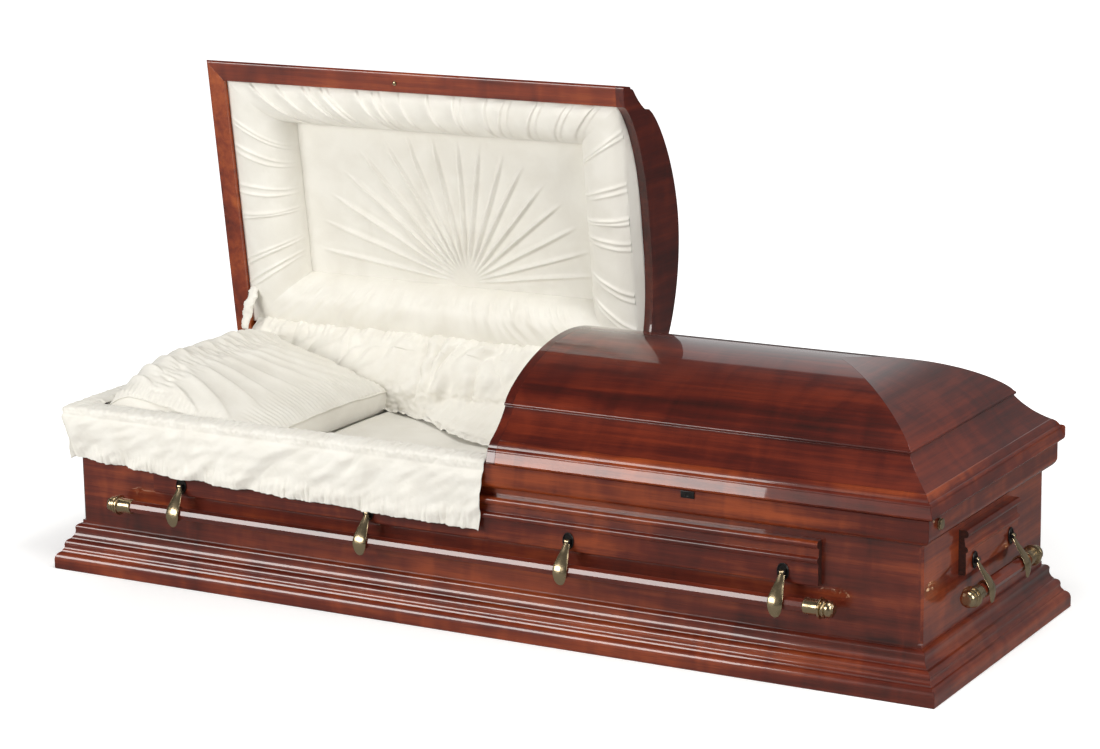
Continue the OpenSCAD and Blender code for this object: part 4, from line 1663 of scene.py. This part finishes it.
@dataclass
class Bed:
    """The mattress, the satin overlay and the wedge pillow with its shirred middle."""

    pillow_x0: float = -0.9640
    pillow_x1: float = -0.5580
    pillow_half: float = 0.270
    band_x: float = -0.828
    cap: float = 0.007
    voxel: float = 0.006
    settling: int = 20
    pressed: float = 0.54

    def mattress(self, palette: Palette) -> None:
        """Build the mattress with rounded edges and rows of shallow tufts.

        Args:
            palette: The casket's finishes.
        """
        low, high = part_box("mattress")
        low, high = low + Vector((0.001, 0.001, 0)), high - Vector((0.001, 0.001, 0.0004))
        deselect()
        bpy.ops.mesh.primitive_cube_add(size=1, location=(low + high) / 2)
        pad = call(bpy.context.object, "mattress_pad")
        pad.scale = high - low
        settle(pad)
        edit(pad)
        bpy.ops.mesh.bevel(offset=0.018, segments=4, affect="EDGES")
        bpy.ops.object.mode_set(mode="OBJECT")
        apply_modifier(pad, "REMESH", mode="VOXEL", voxel_size=0.009)
        for point in pad.data.vertices:
            if point.co.z > high.z - 0.02:
                tuft = math.cos(point.co.x * math.tau / 0.16) * math.cos(point.co.y * math.tau / 0.13)
                edge = smooth(min(high.y - abs(point.co.y), high.x - abs(point.co.x)), 0, 0.05)
                point.co.z -= 0.0035 * edge * max(0.0, -tuft) ** 2 + 0.0008
        sew(pad, near=1e-5)
        coat(pad, palette.satin)
        fit(pad, Body.CASKET, Slot.SATIN, "mattress")

    def overlay(self, palette: Palette) -> None:
        """Lay the satin sheet over the mattress, with soft waves and a turned edge by the pillow.

        Args:
            palette: The casket's finishes.
        """
        low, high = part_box("overlay")
        x0, x1, y0, y1 = low.x - 0.004, high.x - 0.004, -0.262, 0.256

        def place(s: float, t: float) -> Vector:
            """Find the sheet's surface for shares along and across it."""
            x, y = x0 + (x1 - x0) * s, y0 + (y1 - y0) * t
            back = 0.040 * smooth(x, -0.46, -0.10) * (1 - smooth(x, 0.15, 0.5)) * smooth(t, 0.5, 1)
            wave = 0.0016 * rumple(x * 5 + y * 3, y * 6, 1.0) + 0.0008 * rumple(x * 13, y * 9, 2.0)
            turned_up = 0.0045 * (1 - smooth(s, 0.0, 0.03))
            return Vector((x, y - back, BED_Z + 0.0042 + wave + turned_up))

        cloth = sew(spread("satin_overlay", 260, 90, place), 0.0022)
        coat(cloth, palette.satin)
        fit(cloth, Body.CASKET, Slot.SATIN, "overlay")

    def wedge(self, a: float, b: float, c: float) -> Vector:
        """Map a unit cube's point to the pillow before it is filled.

        Args:
            a: Place along it, from -1 at the head end to 1.
            b: Place across it, from -1 to 1.
            c: Place up it, from -1 to 1.

        Returns:
            The point.
        """
        u, v = (a + 1) / 2, b
        high = 0.186 - 0.160 * max(0.0, u - 0.15) ** 1.30 - 0.9 * max(0.0, 0.15 - u) ** 1.6
        high *= 1 - (0.36 * abs(v) ** 2.8 if v < 0 else 0.17 * v ** 2.6)
        pull_x = 0.006 * (1 - v * v)
        pull_y = 0.007 * (1 - a * a)
        x = self.pillow_x0 + (self.pillow_x1 - self.pillow_x0) * u - pull_x * a
        y = v * (self.pillow_half - pull_y)
        return Vector((x, y, BED_Z + 0.003 + (c + 1) / 2 * high))

    def stuffed(self) -> bpy.types.Object:
        """Cut the pillow's wedge, remesh it and fill it by a short cloth simulation.

        Returns:
            The filled pillow.
        """
        deselect()
        bpy.ops.mesh.primitive_cube_add(size=2)
        pillow = call(bpy.context.object, "wedge_pillow")
        bpy.ops.object.mode_set(mode="EDIT")
        bpy.ops.mesh.subdivide(number_cuts=24)
        bpy.ops.object.mode_set(mode="OBJECT")
        for point in pillow.data.vertices:
            point.co = self.wedge(*point.co)
        apply_modifier(pillow, "REMESH", mode="VOXEL", voxel_size=self.voxel)
        start = [point.co.copy() for point in pillow.data.vertices]
        take(pillow)
        cloth = pillow.modifiers.new("Cloth", "CLOTH")
        cloth.settings.use_pressure = True
        cloth.settings.uniform_pressure_force = 4
        cloth.settings.effector_weights.gravity = 0
        cloth.settings.tension_stiffness = cloth.settings.compression_stiffness = 12
        cloth.point_cache.frame_start, cloth.point_cache.frame_end = 1, self.settling
        for step in range(1, self.settling + 1):
            bpy.context.scene.frame_set(step)
        bpy.ops.object.modifier_apply(modifier=cloth.name)
        bpy.context.scene.frame_set(1)
        for point, first in zip(pillow.data.vertices, start):
            moved = point.co - first
            if moved.length > self.cap:
                moved = moved.normalized() * self.cap
            point.co = first + moved
            point.co.z = max(point.co.z, BED_Z + 0.0012)
            point.co.x = min(max(point.co.x, -0.9665), -0.5535)
        apply_modifier(pillow, "SUBSURF", levels=1, render_levels=1)
        return pillow

    def puckers(self, x: float, y: float) -> float:
        """Height of the folds on the pillow's top at a place, in metres."""
        v = y / self.pillow_half
        axis = self.band_x + 0.022 * v
        d = x - axis
        band = ridge(d, 0.030, 0.030) * (1 - smooth(v, 0.62, 0.9)) * smooth(v, -0.98, -0.8)
        lift = band * (0.0034 * rumple(y * 118, x * 34, 1.0) - 0.0036)
        away = abs(d)
        if d > 0:
            bent = y - 0.55 * (d - 0.03) * (0.25 + v) - 0.9 * d * d * (0.4 + v)
            reach = 0.235
        else:
            bent = y + 0.35 * d * (0.2 - v)
            reach = 0.125
        phase = bent / 0.044 + (0.37 if d > 0 else 0.0) + 0.35 * rumple(bent * 9, 0.3, 2.0)
        cell = phase - math.floor(phase)
        tall = 0.0088 * (0.6 + 0.5 * rumple(math.floor(phase) * 3.7, 1.1, 6.0))
        crest = ridge((cell - 0.62) * 0.044, 0.013, 0.0036)
        life = smooth(away, 0.010, 0.045) * (1 - smooth(away, reach * 0.55, reach))
        lift += tall * crest * life * (1 - smooth(abs(v), 0.86, 0.98))
        foot = self.pillow_x1 - x
        edge = smooth(foot, 0.002, 0.012) * (1 - smooth(foot, 0.030, 0.105))
        wave = math.sin(y * math.tau / 0.0135 + 1.5 * rumple(y * 12, x * 5, 3.0))
        lift += edge * 0.0034 * (0.5 + 0.5 * wave)
        side = self.pillow_half - abs(y)
        edge = smooth(side, 0.002, 0.010) * (1 - smooth(side, 0.015, 0.050))
        lift += edge * 0.0014 * math.sin(x * math.tau / 0.013 + rumple(x * 12, y * 5, 4.0))
        return lift + 0.0012 * rumple(x * 20, y * 20, 8.0)

    def pillow(self, palette: Palette) -> None:
        """Stuff the pillow, pucker its top, and sew piping round its boxed side.

        Args:
            palette: The casket's finishes.
        """
        pillow = self.stuffed()
        normals = [point.normal.copy() for point in pillow.data.vertices]
        for point, normal in zip(pillow.data.vertices, normals):
            top = smooth(normal.z, 0.25, 0.6)
            if top > 0:
                point.co = point.co + normal * (top * self.puckers(point.co.x, point.co.y))
        take(pillow)
        bpy.ops.object.shade_smooth()
        coat(pillow, palette.satin)
        self.piping(pillow, palette)
        fit(pillow, Body.CASKET, Slot.SATIN, "pillow")
        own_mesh(pillow)

    def piping(self, pillow: bpy.types.Object, palette: Palette) -> None:
        """Sew a thin cord of piping where the pillow's top meets its boxed side.

        Args:
            pillow: The stuffed pillow.
            palette: The casket's finishes.
        """
        corners = [(1, -1), (1, 1), (-1, 1), (-1, -1)]
        line = []
        for (a0, b0), (a1, b1) in zip(corners, corners[1:] + corners[:1]):
            for k in range(40):
                a, b = a0 + (a1 - a0) * k / 40, b0 + (b1 - b0) * k / 40
                _, spot, normal, _ = pillow.closest_point_on_mesh(self.wedge(a, b, 0.97))
                line.append(spot + normal * 0.0004)
        deselect()
        bpy.ops.curve.primitive_bezier_circle_add()
        path = bpy.context.object
        path.data.splines.clear()
        spline = path.data.splines.new("POLY")
        spline.points.add(len(line) - 1)
        for point, place in zip(spline.points, line):
            point.co = (*place, 1)
        spline.use_cyclic_u = True
        path.data.bevel_depth = 0.0021
        path.data.bevel_resolution = 2
        path.data.dimensions = "3D"
        take(path)
        bpy.ops.object.convert(target="MESH")
        piping = call(bpy.context.object, "pillow_piping")
        settle(piping)
        face_outward(piping)
        bpy.ops.object.shade_smooth()
        coat(piping, palette.satin)
        fit(piping, Body.CASKET, Slot.SATIN)
        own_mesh(piping)

    def build(self, palette: Palette) -> None:
        """Build the mattress, the overlay and the pillow."""
        self.mattress(palette)
        self.overlay(palette)
        self.pillow(palette)


@dataclass
class Extendover:
    """The crepe valance that hangs over the front and head rails while the head lid is open."""

    gap: float = 0.0015
    round_r: float = 0.008
    foot_x: float = 0.0500
    back_y: float = 0.285
    inner_in: float = 0.084

    def rail_line(self, s: float) -> tuple[Vector, Vector, float]:
        """Follow the rail's outer edge from the lids' split round the head corner to the back.

        Args:
            s: Share along the edge.

        Returns:
            A place on the edge, the outward direction there, and the distance run.
        """
        inset = RAIL_IN - self.gap
        corner = Vector((-HALF_L + inset + self.round_r, -HALF_W + inset + self.round_r, 0))
        front = self.foot_x - corner.x
        arc = self.round_r * math.pi / 2
        head = self.back_y - corner.y
        d = s * (front + arc + head)
        if d < front:
            return Vector((self.foot_x - d, corner.y - self.round_r, 0)), Vector((0, -1, 0)), d
        if d < front + arc:
            a = (d - front) / self.round_r
            out = Vector((-math.sin(a), -math.cos(a), 0))
            return corner + out * self.round_r, out, d
        return Vector((corner.x - self.round_r, corner.y + d - front - arc, 0)), Vector((-1, 0, 0)), d

    def build(self, palette: Palette) -> None:
        """Drape the valance with its gathered heading, soft folds and ruffled hem.

        Args:
            palette: The casket's finishes.
        """
        top, turn = RAIL_TOP + 0.003, self.foot_x + HALF_L - RAIL_IN
        limit_x, limit_y = -HALF_L + self.inner_in, -HALF_W + self.inner_in

        def place(s: float, r: float) -> Vector:
            """Find the valance's surface for a share along it and one from its inner to its lower edge."""
            edge, out, d = self.rail_line(s)
            hem = 0.2235 - 0.0272 * edge.x
            hem += 0.0020 * rumple(d * 22, 0.2, 1.0) + 0.0014 * rumple(d * 90, 0.6, 2.0)
            if out.x < -0.9:
                hem = 0.2495 - 0.012 * (edge.y + 0.3)
            shirr = 0.0022 * rumple(d * 150, r * 12, 3.0)
            if r < 0.22:
                q = r / 0.22
                inner = Vector((max(edge.x, limit_x), max(edge.y, limit_y), 0))
                spot = inner.lerp(edge, q)
                tuck = 0.004 * (1 - smooth(q, 0.0, 0.2))
                return Vector((spot.x, spot.y, top + 0.0022 + shirr + 0.0034 * math.sin(math.pi * q)
                               - 0.002 * smooth(q, 0.9, 1.0) - tuck))
            q = (r - 0.22) / 0.78
            fall = q ** 0.94
            z = top + (hem - top) * fall
            warp = 0.8 * rumple(d * 3.6, fall * 0.9, 4.0)
            lean = d * 15 - fall * 1.5 + warp
            fold = 0.0170 * (0.42 + 0.58 * rumple(lean * 1.25, fall * 0.7, 5.0)) * smooth(fall, 0.02, 0.28)
            crepe = 0.0024 * rumple(d * 30 - 5 * fall, fall * 5, 6.0) * smooth(fall, 0.03, 0.2)
            heading = 0.0032 * (0.5 + rumple(d * 140, fall * 9, 7.0)) * (1 - smooth(fall, 0.03, 0.13))
            ruffle = 0.0048 * (0.5 + 0.8 * rumple(d * 125 + 2 * rumple(d * 9, 1, 2), fall * 2.2, 8.0))
            off = max(0.0004, fold + crepe + heading + ruffle * smooth(fall, 0.64, 0.90))
            pinch = -0.0016 * ridge(fall - 0.125, 0.02, 0.02)
            spot = edge + out * max(0.0, off + pinch)
            near = 1 - smooth(abs(d - turn), 0.05, 0.32)
            draw = 0.020 * near * smooth(fall, 0.30, 1.0)
            back = 0.014 * fall * (1 - smooth(d, 0.0, 0.10))
            return Vector((spot.x + draw - back, spot.y + draw * (1 if out.y < -0.5 else 0.3), z))

        cloth = spread("rail_valance", 690, 70, place)
        sew(cloth, 0.0011)
        coat(cloth, palette.crepe)
        fit(cloth, Body.CASKET, Slot.SATIN, "extendover")
        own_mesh(cloth)


@dataclass
class Strap:
    """The crumpled cloth strap that stays the open head lid."""

    top: Triple = (-0.9745, 0.352, 0.532)
    foot: Triple = (-0.9780, 0.292, 0.420)
    wide: float = 0.026
    thick: float = 0.011

    def build(self, palette: Palette) -> None:
        """Build the strap as a flat sleeve with puckered edges.

        Args:
            palette: The casket's finishes.
        """
        start, stop = Vector(self.top), Vector(self.foot)
        run = (stop - start).normalized()
        across = Vector((1, 0, 0))
        face = run.cross(across).normalized()

        def place(s: float, t: float) -> Vector:
            """Find the sleeve's surface for a share round it and a share down it."""
            a = math.tau * s
            puff = 1 + 0.26 * rumple(t * 9, math.cos(a) * 0.8, 1.0)
            puff += 0.12 * rumple(t * 30, math.sin(a) * 2, 2.0)
            bend = face * (0.010 * math.sin(math.pi * t) + 0.003 * rumple(t * 6, 0, 3.0))
            sway = across * (0.004 * rumple(t * 4, 1, 5.0))
            close = math.sin(math.pi * min(1, max(0, t * 0.96 + 0.02))) ** 0.25
            ring = across * math.cos(a) * self.wide + face * math.sin(a) * self.thick
            return start.lerp(stop, t) + bend + sway + ring * (puff * close / 2)

        sleeve = spread("stay_strap_sleeve", 36, 90, place)
        close_edges(sleeve)
        sew(sleeve, near=1e-5)
        coat(sleeve, palette.crepe)
        fit(sleeve, Body.CASKET, Slot.SATIN, "stay_strap")
        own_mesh(sleeve)


@dataclass
class FootLidLining:
    """The plainer lining of the foot lid: one padded ceiling with soft gathers across it."""

    def build(self, palette: Palette) -> None:
        """Build the ceiling as a closed pad.

        Args:
            palette: The casket's finishes.
        """
        low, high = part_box("foot_lining")

        def place(s: float, r: float) -> Vector:
            """Find the pad's surface for a share along it and a share round its section."""
            x = low.x + (high.x - low.x) * s
            if r < 0.8:
                t = r / 0.8
                y = low.y + (high.y - low.y) * t
                edge = min(1.0, 9 * min(t, 1 - t), 14 * min(s, 1 - s) + 0.05)
                sag = 0.006 * edge * (0.6 + 0.5 * rumple(x * 30 + 2 * rumple(y * 3, 1, 2), y * 2.2, 1.0))
                return Vector((x, y, high.z - 0.004 - sag - 0.001 * rumple(x * 90, y * 6, 3.0)))
            t = 1 - (r - 0.8) / 0.2
            return Vector((x, low.y + (high.y - low.y) * t, high.z))

        pad = spread("foot_lid_ceiling", 240, 80, place)
        close_edges(pad)
        sew(pad, near=1e-5)
        coat(pad, palette.satin)
        fit(pad, Body.FOOT_LID, Slot.SATIN, "foot_lining")


# ---------------------------------------------------------------- studio


@dataclass(frozen=True)
class SoftBox:
    """A soft box: where it hangs, what it points at, its width and height, and its power in watts."""

    name: str
    place: Triple
    aim: Triple
    size: Pair
    power: float
    colour: Colour = (1.0, 0.985, 0.96)

    def hang(self) -> None:
        """Hang the soft box as a rectangular area lamp."""
        deselect()
        bpy.ops.object.light_add(type="AREA", location=self.place)
        lamp = bpy.context.object
        lamp.name = self.name
        toward = Vector(self.aim) - Vector(self.place)
        lamp.rotation_euler = toward.to_track_quat("-Z", "Y").to_euler()
        lamp.data.shape = "RECTANGLE"
        lamp.data.size, lamp.data.size_y = self.size
        lamp.data.energy = self.power
        lamp.data.color = self.colour


@dataclass
class Studio:
    """A pale floor, a white backdrop, three soft boxes and the camera."""

    eye: Triple = (3.32484, -5.80408, 2.04916)
    yaw: float = 29.7088
    pitch: float = 13.2689
    roll: float = -0.96787
    lens: float = 105.65
    sky: float = 0.20
    dark: float = 0.06
    backdrop_top: float = 0.86
    backdrop_glow: float = 0.6
    floor_size: float = 90

    def camera(self) -> None:
        """Stand the camera at its tripod and look at the casket."""
        yaw, pitch, roll = (math.radians(a) for a in (self.yaw, self.pitch, self.roll))
        ahead = Vector((-math.sin(yaw) * math.cos(pitch), math.cos(yaw) * math.cos(pitch), -math.sin(pitch)))
        right = Vector((math.cos(yaw), math.sin(yaw), 0))
        up = right.cross(ahead)
        tilted = math.cos(roll) * right + math.sin(roll) * up
        raised = math.cos(roll) * up - math.sin(roll) * right
        deselect()
        bpy.ops.object.camera_add(location=self.eye)
        camera = bpy.context.object
        camera.name = "camera"
        turn = Matrix((tilted, raised, -ahead)).transposed().to_4x4()
        camera.matrix_world = Matrix.Translation(self.eye) @ turn
        camera.data.lens = self.lens
        camera.data.sensor_width = 36
        camera.data.clip_end = 200
        bpy.context.scene.camera = camera

    def floor(self) -> None:
        """Lay a plain pale floor under the casket, raised a little at its far edges like a paper sweep."""
        deselect()
        bpy.ops.mesh.primitive_grid_add(x_subdivisions=24, y_subdivisions=24, size=self.floor_size)
        floor = bpy.context.object
        floor.name = "studio_floor"
        for corner in floor.data.vertices:
            corner.co.z = 0.004 * max(0.0, corner.co.xy.length - self.floor_size / 3) ** 1.5
        bpy.ops.object.shade_smooth()
        b = Board("studio_paper")
        tone = b.noise(1.5, 2, b.place)
        paper = b.ramp(tone, (0.2, (0.80, 0.80, 0.80)), (0.8, (0.84, 0.84, 0.84)))
        b.link(paper, b.shader.inputs["Base Color"])
        away = b.add("ShaderNodeVectorMath", operation="LENGTH")
        b.link(b.place, away.inputs[0])
        glow = b.add("ShaderNodeMapRange", interpolation_type="SMOOTHSTEP")
        for socket, value in (("From Min", 0.8), ("From Max", 2.0), ("To Min", 0.30), ("To Max", 1.0)):
            glow.inputs[socket].default_value = value
        b.link(away.outputs["Value"], glow.inputs["Value"])
        path = b.add("ShaderNodeLightPath")
        b.link(b.maths("MULTIPLY", glow.outputs["Result"], path.outputs["Is Camera Ray"]),
               b.shader.inputs["Emission Strength"])
        b.set(Roughness=0.9, Specular_IOR_Level=0.1, Emission_Color=(1, 1, 1, 1))
        dull = b.add("ShaderNodeBsdfDiffuse", Color=(0.26, 0.26, 0.26, 1))
        seen = b.add("ShaderNodeMixShader")
        b.link(path.outputs["Is Glossy Ray"], seen.inputs[0])
        b.link(b.shader.outputs["BSDF"], seen.inputs[1])
        b.link(dull.outputs["BSDF"], seen.inputs[2])
        b.link(seen.outputs["Shader"], b.tree.nodes["Material Output"].inputs["Surface"])
        coat(floor, b.material)
        settle(floor)

    def backdrop(self) -> None:
        """Wire the world: even for lighting, and a white backdrop in a dark room for reflections."""
        world = bpy.data.worlds.new("studio_room")
        bpy.context.scene.world = world
        world.use_nodes = True
        tree = world.node_tree

        def node(kind: str, *sources: object, **settings: object) -> bpy.types.Node:
            """Add a node, set its properties, and give its inputs numbers or wires in order."""
            made = tree.nodes.new(kind)
            for key, value in settings.items():
                setattr(made, key, value)
            for socket, source in zip(made.inputs, sources):
                if isinstance(source, bpy.types.NodeSocket):
                    tree.links.new(source, socket)
                elif source is not None:
                    socket.default_value = source
            return made

        where = node("ShaderNodeSeparateXYZ", node("ShaderNodeTexCoord").outputs["Generated"])
        rise = node("ShaderNodeMath", where.outputs["Z"], where.outputs["Y"], operation="DIVIDE")
        low = node("ShaderNodeMapRange", rise.outputs[0], self.backdrop_top + 0.03, self.backdrop_top - 0.03,
                   0.0, 1.0, interpolation_type="SMOOTHSTEP")
        behind = node("ShaderNodeMapRange", where.outputs["Y"], 0.05, 0.30, 0.0, 1.0,
                      interpolation_type="SMOOTHSTEP")
        left = node("ShaderNodeMapRange", where.outputs["X"], -0.10, -0.30, 0.25, 1.0,
                    interpolation_type="SMOOTHSTEP")
        wide = node("ShaderNodeMath", behind.outputs[0], left.outputs[0], operation="MULTIPLY")
        paper = node("ShaderNodeMath", low.outputs[0], wide.outputs[0], operation="MULTIPLY")
        mirrored = node("ShaderNodeMath", paper.outputs[0], self.backdrop_glow, self.dark,
                        operation="MULTIPLY_ADD")
        path = node("ShaderNodeLightPath")
        lit = node("ShaderNodeBackground", (1, 1, 1, 1), self.sky)
        gloss = node("ShaderNodeBackground", (1, 1, 1, 1), mirrored.outputs[0])
        seen = node("ShaderNodeBackground", (1, 1, 1, 1), 1.0)
        first = node("ShaderNodeMixShader", path.outputs["Is Glossy Ray"], lit.outputs[0], gloss.outputs[0])
        last = node("ShaderNodeMixShader", path.outputs["Is Camera Ray"], first.outputs[0], seen.outputs[0])
        tree.links.new(last.outputs[0], tree.nodes["World Output"].inputs["Surface"])

    def light(self) -> None:
        """Hang the soft boxes: a long low one on the left, one overhead and one on the right."""
        for box in (SoftBox("left", (-2.62, -3.80, 1.75), (-0.9, 0, 0.5), (2.9, 1.5), 132),
                    SoftBox("top", (1.30, -0.75, 3.5), (-0.4, -0.1, 0.3), (1.5, 1.2), 60),
                    SoftBox("right", (3.6, -1.2, 1.7), (0.6, 0, 0.3), (1.4, 1.4), 52)):
            box.hang()
        bpy.context.scene.view_settings.view_transform = "Standard"

    def build(self) -> None:
        """Build the camera, the floor and the lights."""
        self.camera()
        self.floor()
        self.backdrop()
        self.light()
        LOG.info("studio ready")


def main() -> None:
    """Build the casket's sub-assemblies in order."""
    Studio().build()
    palette = Palette()
    Base().build(palette)
    Rail().build(palette)
    Lid(Body.FOOT_LID, FOOT_CUT, False).build(palette)
    Lid(Body.HEAD_LID, HEAD_CUT, True).build(palette)
    for side in (Side.FRONT, Side.BACK):
        Handle(side, half=0.871, pitch=0.480, count=4, shift=-0.030).build(palette)
    for side in (Side.HEAD, Side.FOOT):
        Handle(side, half=0.188, pitch=0.190, count=2).build(palette)
    Fittings().build(palette)
    LidLining().build(palette)
    BodyLining().build(palette)
    Bed().build(palette)
    Extendover().build(palette)
    Strap().build(palette)
    FootLidLining().build(palette)
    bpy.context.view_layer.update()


if __name__ == "__main__":
    main()
